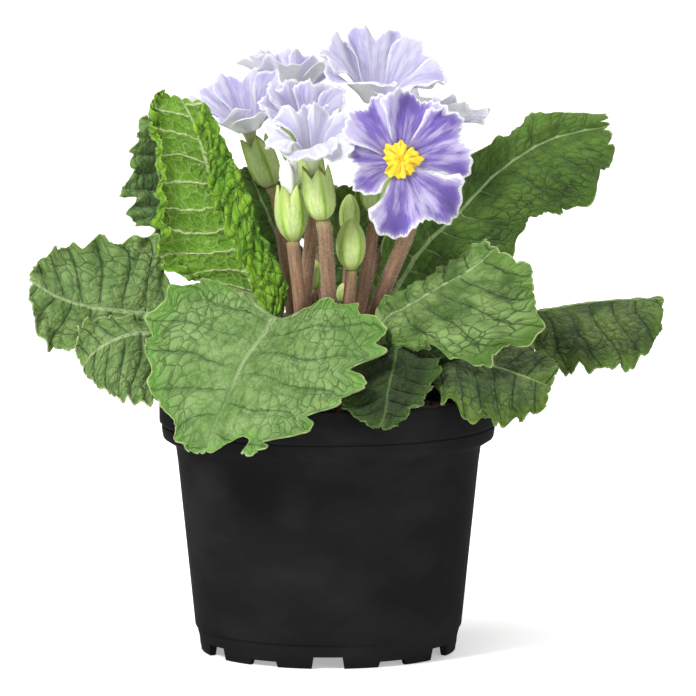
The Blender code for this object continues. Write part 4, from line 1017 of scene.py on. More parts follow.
def petal_grid(bloom, number):
    """Points over one fine petal, with its distance from the frilled rim in millimetres."""
    angle, reach, spread, rise = bloom["petals"][number]
    kind = OPEN_PETAL if bloom["cup"] < FLAT_CUP else PALE_PETAL
    phase = np.random.default_rng(bloom["seed"]).uniform(0, 2 * math.pi, 4)
    own = np.random.default_rng(bloom["seed"] * 10 + number).uniform(0, 2 * math.pi, 6)
    rows, columns = kind["grid"]
    u = (np.linspace(0, 1, rows) ** 0.85)[:, None]
    v = np.linspace(1, -1, columns)[None, :]

    # The outline seen from above
    edge = bloom["reach"] * reach * (1 - PETAL_NOTCH * np.exp(-(v / 0.2) ** 2)
                                     - PETAL_ROUND * np.abs(v) ** 3.5)
    edge = edge * (1 + kind["scallop"] * np.sin(5.5 * v + own[0]) + 0.012 * np.sin(19 * v + own[1])
                   + kind["nicks"] * np.sin(41 * v + own[2] + 3 * np.sin(5 * v)))
    radius = PETAL_FOOT + (edge - PETAL_FOOT) * u
    half = np.radians(PETAL_FOOT_SPREAD + (spread - PETAL_FOOT_SPREAD) * u)
    side_wave = 1 + 0.03 * np.sin(9 * u + own[2]) * np.abs(v) ** 4
    turn = math.radians(angle + bloom["turn"]) + v * half * side_wave

    # The bowl, whose slope changes from the cup round the eye to that of the rim
    bowl = bloom["reach"] - bloom["eye_reach"]
    flat = np.clip((radius - bloom["eye_reach"]) / bowl, 0, 1.1)
    rim_slope = bloom["near"] + (bloom["far"] - bloom["near"]) * ((1 + np.sin(turn)) / 2)
    slopes = [np.radians(bloom["cup"] + (rim_slope - bloom["cup"]) * flat * share)
              for share in ARC_SHARES]
    slope = np.radians(bloom["cup"] + (rim_slope - bloom["cup"]) * flat)
    run = radius - bowl * flat * (1 - np.mean(np.cos(slopes), axis=0))
    height = bowl * flat * np.mean(np.sin(slopes), axis=0)

    # What is raised from the bowl: layers, ruffle, frill, folds and curled rim
    layer = LAYER_STEP * v * np.clip(flat * 1.8, 0, 1) + LAYER_LEAN * v
    ruffle = sum(share * np.sin(count * turn + start)
                 for (count, share), start in zip(RUFFLE_WAVES, phase))
    frill = np.sin(13 * turn + own[3]) + 0.5 * np.sin(24 * turn + own[4])
    lift = (layer + rise * flat * (1 - v ** 2) + RUFFLE * ruffle * flat ** kind["ruffle_power"]
            + FRILL * frill * flat ** kind["frill_power"])
    # relief is read only by the petal colour: painted highlight where ruffles, frill and folds rise,
    # painted shade where they dip
    relief = RUFFLE * ruffle * flat ** 2 + FRILL * frill * flat ** 4
    if kind is OPEN_PETAL:
        crease = np.exp(-((v - 0.2 * np.sin(own[1])) / FOLD_WIDTH) ** 2)
        folds = FOLD_WAVE * np.sin(5.2 * v + own[0] + 2.6 * u) - FOLD_DEEP * crease * (1.4 - flat)
        lift = lift + folds * flat ** 1.5
        # painted shade also on the far edge, which is tucked under
        relief = (relief + folds * flat ** 1.5
                  + 3.0 * (v < -SHADED_FROM) * (1 + v / SHADED_FROM))
    rim_side = (1 - np.abs(v)) * half * np.maximum(radius, 0.1)
    rim_far = (1 - u) * (edge - PETAL_FOOT)
    rim = np.minimum(rim_far, rim_side * 0.9 + RIM_FADE * (1 - u) ** 3)
    lift = lift + RIM_CURL * np.exp(-rim_side / 1.2) * np.sin(11 * u + own[5]) * flat
    curl = RIM_CURL * np.exp(-rim_far / 1.6) * (0.4 + 0.6 * np.sin(5 * turn + own[5]))
    lift = lift - curl * 0.6
    run = run - lift * np.sin(slope)
    height = height + lift * np.cos(slope)
    points = np.stack([run * np.cos(turn), run * np.sin(turn), height], -1)
    return points, rim, relief, np.broadcast_to(v, rim.shape), radius


def petal_parts(bloom, number, axes):
    local, rim, relief, v, radius = petal_grid(bloom, number)
    points = local @ axes.T + np.array(bloom["eye"], float)
    spots, faces = sheet(points, PETAL_THICK * (0.55 + 0.45 * ease(rim, 0.0, 1.5)))
    layers = both_sides({"rim": rim, "radius": radius, "tube": 0.0, "relief": relief,
                         "pale": PALE_SHARE[bloom["seed"] - 1]}, rim.shape)
    layers["inner"] = np.repeat([1.0, 0.0], rim.size)
    flat = np.stack([v * 1.7 + number * 5.0, radius / 10], -1).reshape(-1, 2)
    return spots, faces.tolist(), layers, np.tile(flat, (2, 1))


def calyx_end(bloom):
    return np.array(bloom["eye"], float) - unit(bloom["tube"]) * bloom["length"]


NECK_SIDES = 20
NECK_RADII = (3.1, 2.9, 2.6, 2.3, 2.1, 1.95, 1.85, 1.8, 1.8, 1.75, 1.7, 1.7)


def neck_part(bloom):
    """Flower tube from the throat down into the calyx."""
    eye = np.array(bloom["eye"], float)
    back, tube = unit(bloom["face"]), unit(bloom["tube"])
    path = [eye + back * 0.3, eye - back * 3.0, eye - back * 4.5 - tube * 2.5,
            eye - tube * (bloom["length"] - CALYX_LENGTH + TUBE_OUT),
            eye - tube * (bloom["length"] - TUBE_SEAT)]
    line = smooth_at(path, np.concatenate([np.linspace(0, 2, 9), [2.5, 3, 4]]))
    spots, faces = loft(path_rings(line, NECK_RADII, NECK_SIDES))
    flat = np.zeros((len(spots), 2))
    flat[:, 1] = np.linspace(0, 2, len(spots))
    layers = {"rim": 9.0, "inner": 0.0, "radius": 3.0, "tube": 1.0, "relief": 0.0, "pale": 1.0}
    return spots, faces, layers, flat


def petal_finish():
    """Lilac petals: streaked inside with painted shade and highlight along the folds, pale outside,
    with a frilled white rim.
    """
    finish = Finish("frilled_petals")
    flat = finish.uv("flat")
    inner, rim, radius, pale, relief, tube = map(
        finish.attribute, ("inner", "rim", "radius", "pale", "relief", "tube"))
    streak = finish.noise(finish.stretched(flat, (9.0, 0.55, 1.0)), 5.0, 4.0, 0.65)
    broad = finish.noise(finish.stretched(flat, (1.6, 0.5, 1.0)), 2.0)
    grain = finish.noise(finish.place(), 900.0)
    deep = finish.mix(pale, srgb(88, 62, 160), srgb(172, 166, 220))
    soft = finish.mix(pale, srgb(138, 114, 202), srgb(212, 212, 240))
    light = finish.mix(pale, srgb(200, 188, 238), srgb(240, 242, 252))
    inside = finish.over(
        finish.mix(streak.ease(0.34, 0.62), deep, soft),
        # lighter in broad patches, partly painted highlight where the folds rise
        ((broad + streak * 0.3 - 0.15 + relief * 0.07).ease(0.36, 0.68), light),
        (pale * 0.3, soft),
        # painted shade where the folds dip and on the tucked far edge, then painted highlight on their
        # crests
        ((relief * -1.0).ease(0.2, 3.2) * 0.75, deep),
        (relief.ease(0.4, 3.4) * 0.4, light),
        (radius.ease(19.0, 6.0) * (0.4 + 0.25 * pale), deep))
    ragged = rim + (streak - 0.5) * 4.2 + (grain - 0.5) * 0.6
    colour = finish.over(
        finish.mix(streak.ease(0.3, 0.7), srgb(226, 230, 252), srgb(244, 246, 255)),
        (inner, inside),
        ((1 - ragged.ease(1.0, 3.2)) * 0.3, srgb(214, 206, 244)),
        (1 - ragged.ease(0.6, 1.3), srgb(250, 249, 253)),
        (tube, srgb(196, 206, 150)))
    return finish.done(Base_Color=colour, Roughness=0.62 + 0.1 * streak,
                       Normal=finish.bump(streak * 0.6 + grain * 0.25, 0.6, 0.0007),
                       Specular_IOR_Level=0.25, Sheen_Weight=0.25, Sheen_Roughness=0.5,
                       Subsurface_Weight=0.5, Subsurface_Scale=0.003,
                       Subsurface_Radius=(1.0, 0.95, 1.0))


def eye_finish():
    """Yellow star, with painted shade in deeper orange in its creases and in the throat."""
    finish = Finish("star_eye")
    fine = finish.noise(finish.place(), 700.0, 3.0)
    colour = finish.over(
        finish.mix(fine.ease(0.3, 0.7), srgb(250, 210, 28), srgb(254, 230, 84)),
        (finish.attribute("crease").ease(0.25, 0.95) * 0.75, srgb(230, 156, 12)),
        (finish.attribute("throat"), srgb(240, 190, 44)))
    return finish.done(Base_Color=colour, Roughness=0.55 + 0.1 * fine,
                       Normal=finish.bump(fine, 0.4, 0.0003), Subsurface_Weight=0.2,
                       Subsurface_Scale=0.002, Specular_IOR_Level=0.3)


EYE_SIDES = 80
EYE_OUTLINE = ((0.40, 0.0), (0.90, 0.1), (1.0, 0.35), (1.0, 0.7), (0.92, 1.0), (0.8, 1.3),
               (0.66, 1.65), (0.52, 1.95), (0.38, 2.1), (0.26, 2.0), (0.18, 1.8), (0.13, 1.5),
               (0.08, 1.35))
THROAT = (0.15, 0.8)
THROAT_EDGE = (0.2, 0.3)


def star_eye(name, bloom, material):
    """Five-armed folded star over the foot of the petals, with a small open throat."""
    axes = frame_of(bloom["face"], bloom["turn"] + STAR_TURN)
    turns = turns_of(EYE_SIDES)
    arm = 0.5 + 0.5 * np.cos(5 * turns)
    one, two = bloom["seed"] * 1.7, bloom["seed"] * 2.9
    star = (0.78 + 0.14 * arm ** 0.7 + 0.1 * np.sin(3 * turns + one)
            + 0.07 * np.sin(8 * turns + two) + 0.06 * np.sin(17 * turns + two))
    low = PETAL_THICK / 2 + 0.5
    wave = (0.5 * np.cos(9 * turns + one) + 0.4 * np.cos(14 * turns + two)
            + 0.25 * np.cos(23 * turns + one))
    rings, crease, throat = [], [], []
    for share, rise in EYE_OUTLINE:
        folds = wave * (0.75 + 0.5 * np.sin(9 * share + 3 * turns + two))
        height = low + rise * (0.82 + 0.3 * arm) + folds * ease(share, 0.2, 0.7) * (rise > 0.3)
        spread = bloom["eye_reach"] * share * (star if share > 0.5 else 0.86 + 0.14 * star)
        rings.append(round_ring(spread, turns, height) @ axes.T + np.array(bloom["eye"], float))
        # crease marks where the folds dip and throat the open middle, both for painted shade
        crease.append(ease(-folds, -0.2, 0.8) * (0.35 + 0.65 * (share < 0.95)))
        throat.append([THROAT[1] if share < THROAT[0] else
                       THROAT_EDGE[1] if share < THROAT_EDGE[0] else 0.0])
    return lofted_piece(name, rings, {"crease": crease, "throat": throat}, material)


def green_finish(name, light, deep, line):
    """Calyxes and buds: pale between the ribs, with fine veins and a darker line on each rib."""
    finish = Finish(name)
    flat = finish.uv("flat")
    streak = finish.noise(finish.stretched(flat, (14.0, 2.0, 1.0)), 8.0, 3.0, 0.6)
    fine = finish.noise(finish.place(), 900.0)
    net = 1 - finish.cell_edges(finish.stretched(flat, (1.6, 0.6, 1.0)), 55.0).ease(0.0, 0.16)
    rib, top = finish.attribute("rib"), finish.attribute("top")
    colour = finish.over(
        finish.mix(streak.ease(0.3, 0.7), light, deep),
        ((1 - rib).ease(0.55, 1.0) * 0.6, srgb(222, 232, 176)),
        (net * 0.16, line),
        (streak.ease(0.56, 0.66) * 0.3, line),
        (rib.ease(0.3, 0.9) * 0.55, line),
        (top.ease(0.3, 1.0) * 0.4, srgb(204, 220, 132)),
        ((1 - top.ease(-0.05, 0.22)) * 0.5, srgb(150, 140, 84)))
    height = streak * 0.5 + fine * 0.3 - net * 0.4
    return finish.done(Base_Color=colour, Roughness=0.5 + 0.12 * fine,
                       Normal=finish.bump(height, 0.4, 0.0004), Specular_IOR_Level=0.35,
                       Subsurface_Weight=0.3, Subsurface_Scale=0.002)


CALYX_SIDES = 90
CALYX_SEED = 40
CALYX_OUTLINE = ((2.2, 0.0), (3.4, 0.05), (4.4, 0.12), (5.2, 0.24), (5.6, 0.4), (5.65, 0.55),
                 (5.5, 0.68), (5.2, 0.85), (4.7, 1.0), (4.35, 1.0), (4.8, 0.85), (5.0, 0.68),
                 (4.9, 0.5), (4.2, 0.35), (2.3, 0.2))


def ribbed_piece(name, rings, outline, point, material):
    """A calyx or bud with the numbers that green_finish reads."""
    top = [[share] for _, share in outline]
    return lofted_piece(name, rings, {"rib": point ** 5, "top": top}, material)


def calyx_piece(name, bloom, material):
    """A ribbed cup whose outline goes up outside, over five teeth and down inside."""
    axes = frame_of(bloom["tube"], 0)
    base = calyx_end(bloom) + unit(bloom["tube"]) * CALYX_LIFT
    turns = turns_of(CALYX_SIDES)
    lobe, point = five_points(turns)
    own = np.random.default_rng(bloom["seed"] + CALYX_SEED).uniform(-1, 1, 10)
    tooth = 0.8 + 0.2 * point ** 0.9 + 0.03 * own[lobe] * point
    rib = 0.93 + 0.14 * point ** 2.2
    rings = []
    for radius, share in CALYX_OUTLINE:
        rise = CALYX_LENGTH * share * (1 - (1 - tooth) * ease(share, 0.45, 1.0))
        spread = radius * (1 + (rib - 1) * (1 if share > 0.03 else 0.3))
        spread = spread + 0.35 * own[lobe + 5] * ease(share, 0.6, 1.0) * point
        rings.append(round_ring(spread, turns, rise) @ axes.T + base)
    return ribbed_piece(name, rings, CALYX_OUTLINE, point, material)


def stem_finish():
    """Reddish brown flower stalks, streaked along their length and greener near the top."""
    finish = Finish("downy_stem")
    flat = finish.uv("flat")
    streak = finish.noise(finish.stretched(flat, (16.0, 1.0, 1.0)), 9.0, 3.0, 0.6)
    fine = finish.noise(finish.place(), 1200.0)
    side = finish.noise(finish.stretched(flat, (3.0, 0.4, 1.0)), 3.0)
    colour = finish.over(
        finish.mix(streak.ease(0.32, 0.68), srgb(134, 98, 80), srgb(166, 130, 104)),
        (side.ease(0.5, 0.68) * 0.55, srgb(158, 150, 96)),
        (fine.ease(0.5, 0.75) * 0.4, srgb(196, 178, 142)),
        (finish.attribute("rise").ease(0.75, 1.0) * 0.5, srgb(166, 168, 100)))
    return finish.done(Base_Color=colour, Roughness=0.62,
                       Normal=finish.bump(streak * 0.6 + fine * 0.4, 0.5, 0.0004),
                       Specular_IOR_Level=0.3, Sheen_Weight=0.3, Sheen_Roughness=0.4,
                       Subsurface_Weight=0.08, Subsurface_Scale=0.0015)


STEM_SIDES = 20
STEM_ROWS = 56
BUD_STEM_ROWS = 40
STEM_SWELL = 0.2
STEM_FLUTE = 0.035
CROWN_CLEAR = 96.0


def stem_piece(name, foot, past, end, radius, material, rows=STEM_ROWS):
    start = np.array([*foot, STAND_BASE])
    points = [start, start + (0, 0, STAND_HEIGHT), *past, *end]
    line = smooth_at(points, np.linspace(0, len(points) - 1, rows))
    share = np.linspace(0, 1, rows)
    stout = 1 + STEM_SWELL * ease(line[:, 2], STAND_BASE + STAND_HEIGHT, CROWN_CLEAR)
    stout = stout * (1 - 0.12 * ease(share, 0.9, 1.0))
    radii = radius * stout * (1 + 0.05 * np.sin(9 * share + foot[0]) * ease(share, 0.1, 0.2))
    rings = path_rings(line, radii, STEM_SIDES, STEM_FLUTE)
    return lofted_piece(name, rings, {"rise": share[:, None]}, material)


class Growth:
    """A node tree that spreads copies of one small shape over a surface."""

    def __init__(self, name, *sizes):
        self.tree = bpy.data.node_groups.new(name, "GeometryNodeTree")
        numbers = [(size, "Float") for size in ("Number per square metre", *sizes)]
        for label, kind in (("Surface", "Geometry"), *numbers, ("Seed", "Int"),
                            ("Finish", "Material")):
            self.tree.interface.new_socket(label, in_out="INPUT", socket_type=f"NodeSocket{kind}")
        self.tree.interface.new_socket("Grown", in_out="OUTPUT",
                                       socket_type="NodeSocketGeometry")
        self.given = self.add("NodeGroupInput")
        self.points = self.add("GeometryNodeDistributePointsOnFaces", {}, {
            "Mesh": self.given["Surface"], "Density": self.given["Number per square metre"],
            "Seed": self.given["Seed"]})

    def add(self, kind, settings=None, values=None):
        """A node with its sockets linked or set; gives its outputs."""
        node = self.tree.nodes.new(kind)
        for key, value in (settings or {}).items():
            setattr(node, key, value)
        for key, value in (values or {}).items():
            if isinstance(value, bpy.types.NodeSocket):
                self.tree.links.new(value, node.inputs[key])
            else:
                node.inputs[key].default_value = value
        return node.outputs

    def random_vector(self, low, high):
        return self.add("FunctionNodeRandomValue", {"data_type": "FLOAT_VECTOR"},
                        {"Min": low, "Max": high, "Seed": self.given["Seed"]})[0]

    def done(self, shape, rotation, scale):
        """Stands the shape on every point, makes the copies real and gives them their finish."""
        stood = self.add("GeometryNodeInstanceOnPoints", {}, {
            "Points": self.points["Points"], "Instance": shape, "Rotation": rotation,
            "Scale": scale})
        real = self.add("GeometryNodeRealizeInstances", {}, {"Geometry": stood["Instances"]})
        paint = self.add("GeometryNodeSetMaterial", {}, {"Geometry": real["Geometry"],
                                                         "Material": self.given["Finish"]})
        self.add("NodeGroupOutput", {}, {"Grown": paint["Geometry"]})
        return self.tree


def hair_tree():
    """Short stiff hairs standing on a surface."""
    growth = Growth("short_hairs", "Length", "Radius")
    cone = growth.add("GeometryNodeMeshCone", {}, {
        "Vertices": 3, "Depth": growth.given["Length"], "Radius Bottom": growth.given["Radius"]})
    size = growth.add("FunctionNodeRandomValue", {}, {2: 0.45, 3: 1.0,
                                                      "Seed": growth.given["Seed"]})
    turn = growth.add("FunctionNodeRotateRotation", {"rotation_space": "LOCAL"}, {
        "Rotation": growth.points["Rotation"],
        "Rotate By": growth.random_vector((-0.5, -0.5, 0.0), (0.5, 0.5, 6.0))})
    return growth.done(cone["Mesh"], turn[0], size[1])


def evaluated(thing, name):
    """The mesh of an object as its modifiers leave it."""
    graph = bpy.context.evaluated_depsgraph_get()
    mesh = bpy.data.meshes.new_from_object(thing.evaluated_get(graph))
    mesh.name = name
    return mesh


def grown(name, source, tree, values, material):
    """What a tree grows on a piece, as a plain mesh piece of its own; the source goes."""
    modifier = source.modifiers.new("grow", "NODES")
    modifier.node_group = tree
    for socket in tree.interface.items_tree:
        if socket.in_out == "INPUT" and socket.name in values:
            modifier[socket.identifier] = values[socket.name]
    mesh = evaluated(source, name)
    source.modifiers.remove(modifier)
    bpy.data.objects.remove(source, do_unlink=True)
    finish_piece(add_piece(name, mesh, material), [])


def hair_finish():
    finish = Finish("pale_down")
    fine = finish.noise(finish.place(), 300.0)
    colour = finish.mix(fine.ease(0.3, 0.7), srgb(206, 204, 178), srgb(238, 238, 224))
    return finish.done(Base_Color=colour, Roughness=0.6)


def join_pieces(name, things, material):
    """Copies several finished meshes into one plain source for what grows on them."""
    shape = bmesh.new()
    for thing in things:
        shape.from_mesh(thing.data)
    mesh = bpy.data.meshes.new(name)
    shape.to_mesh(mesh)
    shape.free()
    return add_piece(name, mesh, material)


# Down on stems and calyxes: hairs for each square metre and their length in metres
DOWN = {"stem": (1.3e6, 0.0009), "calyx": (0.5e6, 0.0006)}
HAIR_RADIUS = 0.00005
HAIR_SEED = 4


def make_blooms():
    petals, eyes, stem_brown = petal_finish(), eye_finish(), stem_finish()
    calyx_green = green_finish("calyx_green", srgb(192, 222, 118), srgb(156, 196, 80),
                               srgb(110, 150, 46))
    downy = {"stem": [], "calyx": []}
    for name, own in BLOOMS.items():
        bloom = {**BLOOM, **own}
        title = f"bloom_{name}"
        axes = frame_of(bloom["face"], 0)
        parts = [petal_parts(bloom, number, axes) for number in range(len(bloom["petals"]))]
        spots, faces, layers, flat = joined([*parts, neck_part(bloom)])
        mesh = mesh_from(f"{title}_petals_fine", spots, faces, layers, {"flat": flat})
        finish_piece(add_piece(f"{title}_petals_fine", mesh, petals), [f"{title}_petals"])
        finish_piece(star_eye(f"{title}_eye_fine", bloom, eyes), [f"{title}_eye"])
        calyx = calyx_piece(f"{title}_calyx_fine", bloom, calyx_green)
        downy["calyx"].append(finish_piece(calyx, [f"{title}_calyx"]))
        last = calyx_end(bloom)
        end = [last - unit(bloom["tube"]) * STEM_LEAD, last]
        stem = stem_piece(f"{title}_stem_fine", bloom["foot"], bloom["past"], end,
                          bloom["thick"], stem_brown)
        downy["stem"].append(finish_piece(stem, [f"{title}_stem"]))
    down, tree = hair_finish(), hair_tree()
    for slot, (number, length) in DOWN.items():
        source = join_pieces(f"{slot}_down_source", downy[slot], stem_brown)
        values = {"Number per square metre": number, "Length": length, "Radius": HAIR_RADIUS,
                  "Seed": HAIR_SEED, "Finish": down}
        grown(f"{slot}_down", source, tree, values, down)


# Outlines of the buds: radius and height as shares of a bud's width and length
OPEN_BUD = ((0.72, 0.14), (0.92, 0.3), (1.0, 0.45), (0.98, 0.6), (0.9, 0.78), (0.74, 1.0),
            (0.62, 1.0), (0.74, 0.75), (0.8, 0.5), (0.4, 0.22))
SHUT_BUD = ((0.75, 0.14), (0.93, 0.28), (1.0, 0.42), (0.97, 0.58), (0.86, 0.72), (0.66, 0.84),
            (0.42, 0.93), (0.22, 0.985), (0.06, 1.0))
FURLED_TIP = ((0.22, 0.36), (0.42, 0.6), (0.48, 0.85), (0.54, 1.0), (0.6, 1.12), (0.62, 1.24),
              (0.56, 1.33), (0.36, 1.36), (0.1, 1.3))
BUD_SIDES = 80
TIP_SIDES = 64


def bud_frame(bud):
    """Foot of a bud, its axes and its length."""
    base = np.array(bud["base"], float)
    whole = np.array(bud["tip"], float) - base
    return base, frame_of(whole, BUD_TURN), np.linalg.norm(whole)


def bud_piece(name, bud, material, is_open):
    base, axes, length = bud_frame(bud)
    turns = turns_of(BUD_SIDES)
    _, point = five_points(turns)
    seam = np.exp(-(point / 0.16) ** 2)
    outline = ((bud["thick"] / bud["wide"], 0.0),) + (OPEN_BUD if is_open else SHUT_BUD)
    rings = []
    for radius, share in outline:
        rib = 0.95 + 0.11 * point ** 2.5 - 0.06 * seam * ease(share, 0.2, 0.6)
        rise = length * share
        if is_open:
            rise = rise * (1 - 0.2 * (1 - point ** 0.8) * ease(share, 0.5, 1.0))
        ring = round_ring(radius * bud["wide"] * rib, turns, rise)
        rings.append(ring @ axes.T + base + axes[:, 2] * CALYX_LIFT)
    return ribbed_piece(name, rings, outline, point, material)


def bud_tip_piece(name, bud, material):
    base, axes, length = bud_frame(bud)
    turns = turns_of(TIP_SIDES)
    third = np.mod(turns * 3 / (2 * math.pi), 1)
    fold = 0.9 + 0.1 * np.cos(4 * turns) - 0.1 * np.exp(-((third - 0.5) / 0.1) ** 2)
    rings = []
    for radius, share in FURLED_TIP:
        ragged = 1 + 0.09 * np.sin(3 * turns + 1.2) * ease(share, 0.9, 1.3)
        ring = round_ring(radius * bud["wide"] * fold, turns, length * share * ragged)
        rings.append(ring @ axes.T + base)
    return lofted_piece(name, rings, {"rise": [[share] for _, share in FURLED_TIP]}, material)


def furled_finish():
    """White rolled petals, greener where they leave the calyx."""
    finish = Finish("furled_petals")
    streak = finish.noise(finish.stretched(finish.uv("flat"), (9.0, 1.0, 1.0)), 10.0, 3.0)
    low = 1 - finish.attribute("rise").ease(0.7, 1.05)
    colour = finish.over(
        finish.mix(streak.ease(0.3, 0.7), srgb(232, 234, 222), srgb(250, 250, 246)),
        (low * 0.5, srgb(206, 214, 160)))
    return finish.done(Base_Color=colour, Roughness=0.6, Normal=finish.bump(streak, 0.5, 0.0004),
                       Subsurface_Weight=0.25, Subsurface_Scale=0.002)


def make_buds():
    bud_green = green_finish("bud_green", srgb(200, 226, 112), srgb(164, 204, 76),
                             srgb(112, 154, 42))
    furled, stem_brown = furled_finish(), bpy.data.materials["downy_stem"]
    for name, bud in BUDS.items():
        title = f"bud_{name}"
        is_open = name == "front"
        calyx = bud_piece(f"{title}_calyx_fine", bud, bud_green, is_open)
        finish_piece(calyx, [f"{title}_calyx"])
        if is_open:
            tip = bud_tip_piece(f"{title}_tip_fine", bud, furled)
            finish_piece(tip, [f"{title}_tip"])
        base, axes, _ = bud_frame(bud)
        stem = stem_piece(f"{title}_stem_fine", bud["foot"], bud["past"],
                          [base - axes[:, 2] * BUD_LEAD, base], bud["thick"], stem_brown,
                          BUD_STEM_ROWS)
        finish_piece(stem, [f"{title}_stem"])


# Pot and soil

POT_SIDES = 144
POT_PROFILE = (
    (45.2, 6.0), (46.4, 9.4), (53.2, 73.0), (57.6, 75.9), (58.5, 81.2), (59.0, 92.4),
    (59.2, 92.85), (59.6, 93.0), (60.0, 92.9), (60.3, 92.5), (60.25, 84.0), (60.2, 82.3),
    (59.5, 81.7), (59.0, 81.1), (59.4, 80.6), (59.3, 79.0), (58.95, 77.0), (58.7, 76.5),
    (54.7, 74.0), (54.45, 73.7), (53.6, 67.6), (50.7, 39.5), (47.6, 9.2), (47.3, 8.6),
    (46.8, 8.3), (46.8, 7.6), (46.1, 5.0), (45.6, 0.4), (45.3, 0.0), (43.5, 0.0), (43.2, 0.4),
    (42.8, 4.5), (7.6, 4.5), (6.5, 0.0),
)
SHARP_FROM = math.radians(38)
FOOT_COUNT = 12
FIRST_FOOT = -90
DEEP_NOTCH = 4.2
SHALLOW_NOTCH = 2.0
NOTCH_PLACE = 44.5
NOTCH_THROUGH = 7.0
NOTCH_WIDE = 11.8
NOTCH_NARROW = 0.86
NOTCH_BELOW = 1.0
DRAIN_COUNT = 4
FIRST_DRAIN = 45
DRAIN_PLACE = 27
DRAIN_RADIUS = 4.0
DRAIN_DEPTH = 4.5
DRAIN_MIDDLE = 5.25


def pot_cutters():
    """The gaps between the feet and the drain holes, as one cutting body."""
    shape = bmesh.new()
    for number in range(FOOT_COUNT):
        height = (DEEP_NOTCH if number % 2 == 0 else SHALLOW_NOTCH) + NOTCH_BELOW
        made = bmesh.ops.create_cube(shape, size=1.0)["verts"]
        for corner in made:
            wide = NOTCH_WIDE * (NOTCH_NARROW if corner.co.z > 0 else 1.0)
            corner.co = (corner.co.x * NOTCH_THROUGH + NOTCH_PLACE, corner.co.y * wide,
                         corner.co.z * height + height / 2 - NOTCH_BELOW)
        angle = math.radians(FIRST_FOOT + 360 / FOOT_COUNT * number)
        bmesh.ops.rotate(shape, cent=(0, 0, 0), matrix=Matrix.Rotation(angle, 3, "Z"), verts=made)
    for number in range(DRAIN_COUNT):
        made = bmesh.ops.create_cone(shape, cap_ends=True, segments=24, radius1=DRAIN_RADIUS,
                                     radius2=DRAIN_RADIUS, depth=DRAIN_DEPTH)["verts"]
        angle = math.radians(FIRST_DRAIN + 360 / DRAIN_COUNT * number)
        place = (DRAIN_PLACE * math.cos(angle), DRAIN_PLACE * math.sin(angle), DRAIN_MIDDLE)
        bmesh.ops.translate(shape, vec=place, verts=made)
    bmesh.ops.scale(shape, vec=(MM, MM, MM), verts=shape.verts)
    mesh = bpy.data.meshes.new("pot_cutters")
    shape.to_mesh(mesh)
    shape.free()
    thing = bpy.data.objects.new("pot_cutters", mesh)
    bpy.context.scene.collection.objects.link(thing)
    return thing


def pot_finish():
    """Black moulded nursery pot: faint turning lines, scuffs and a little dust."""
    finish = Finish("black_pot")
    place = finish.place()
    lines = finish.noise(finish.stretched(place, (6.0, 6.0, 900.0)), 1.0)
    smear = finish.noise(finish.stretched(place, (30.0, 30.0, 60.0)), 1.0, 4.0)
    fine = finish.noise(place, 1500.0)
    colour = finish.over(
        finish.mix(smear.ease(0.35, 0.75), srgb(31, 31, 32), srgb(40, 40, 41)),
        (fine.ease(0.62, 0.8) * 0.2, srgb(62, 61, 59)))
    return finish.done(Base_Color=colour, Roughness=0.46 + 0.12 * smear + 0.06 * fine,
                       Normal=finish.bump(lines * 0.6 + fine * 0.35, 0.25, 0.0003),
                       Specular_IOR_Level=0.004)


def make_pot():
    """The profile turned about the upright axis, with the gaps and holes cut out."""
    turns = turns_of(POT_SIDES)
    spots, faces = loft([round_ring(radius, turns, height) for radius, height in POT_PROFILE])
    rough_mesh = mesh_from("pot_rough", spots, faces, {}, {})
    tidy_normals(rough_mesh)
    material = pot_finish()
    rough, cutters = add_piece("pot_rough", rough_mesh, material), pot_cutters()
    cut = rough.modifiers.new("feet", "BOOLEAN")
    cut.operation = "DIFFERENCE"
    cut.object = cutters
    cut.solver = "EXACT"
    mesh = evaluated(rough, "pot_fine")
    for thing in (rough, cutters):
        bpy.data.objects.remove(thing, do_unlink=True)
    mesh.set_sharp_from_angle(angle=SHARP_FROM)
    finish_piece(add_piece("pot_fine", mesh, material), ["pot"])


SOIL_RINGS = 46
SOIL_SIDES = 150
SOIL_RADIUS = 57.9
# Radii and the heights of the soil there; lumps are cell size, seed and how far one reaches
SOIL_LEVELS = ((0, 22, 25.5, 40, SOIL_RADIUS), (77.6, 77.8, 84.2, 84.8, 82.8))
SOIL_EDGE = ((57.0, 76.2), (52.6, 73.2), (45.9, 9.8), (44.8, 6.4))
LUMPS = ((3.4, 7, 2.4), (8.5, 9, 6.0))
LUMP_HEIGHT = 0.9
LUMPS_SET_IN = (25.0, 28.0)
LUMPS_END_FROM = 55.5
SOIL_SUNK = 0.4
CRUMBS_BETWEEN = (27.0, 56.0)
CRUMB_SIZES = {"Number per square metre": 60000.0, "Radius": 0.0013, "Seed": 3}


def soil_finish():
    """Dark peat with reddish fibres and a few paler grains."""
    finish = Finish("dark_peat")
    place = finish.place()
    clod = finish.noise(place, 180.0, 4.0, 0.7)
    fine = finish.noise(place, 900.0, 3.0, 0.7)
    fibre = finish.noise(finish.stretched(place, (300.0, 60.0, 200.0)), 1.0)
    colour = finish.over(
        finish.mix(clod.ease(0.35, 0.7), srgb(28, 18, 14), srgb(66, 42, 30)),
        (fibre.ease(0.6, 0.75) * 0.6, srgb(108, 66, 42)),
        (fine.ease(0.7, 0.8) * 0.4, srgb(126, 104, 84)))
    return finish.done(Base_Color=colour, Roughness=0.95,
                       Normal=finish.bump(clod * 0.6 + fine * 0.4, 0.8, 0.0012),
                       Specular_IOR_Level=0.2)


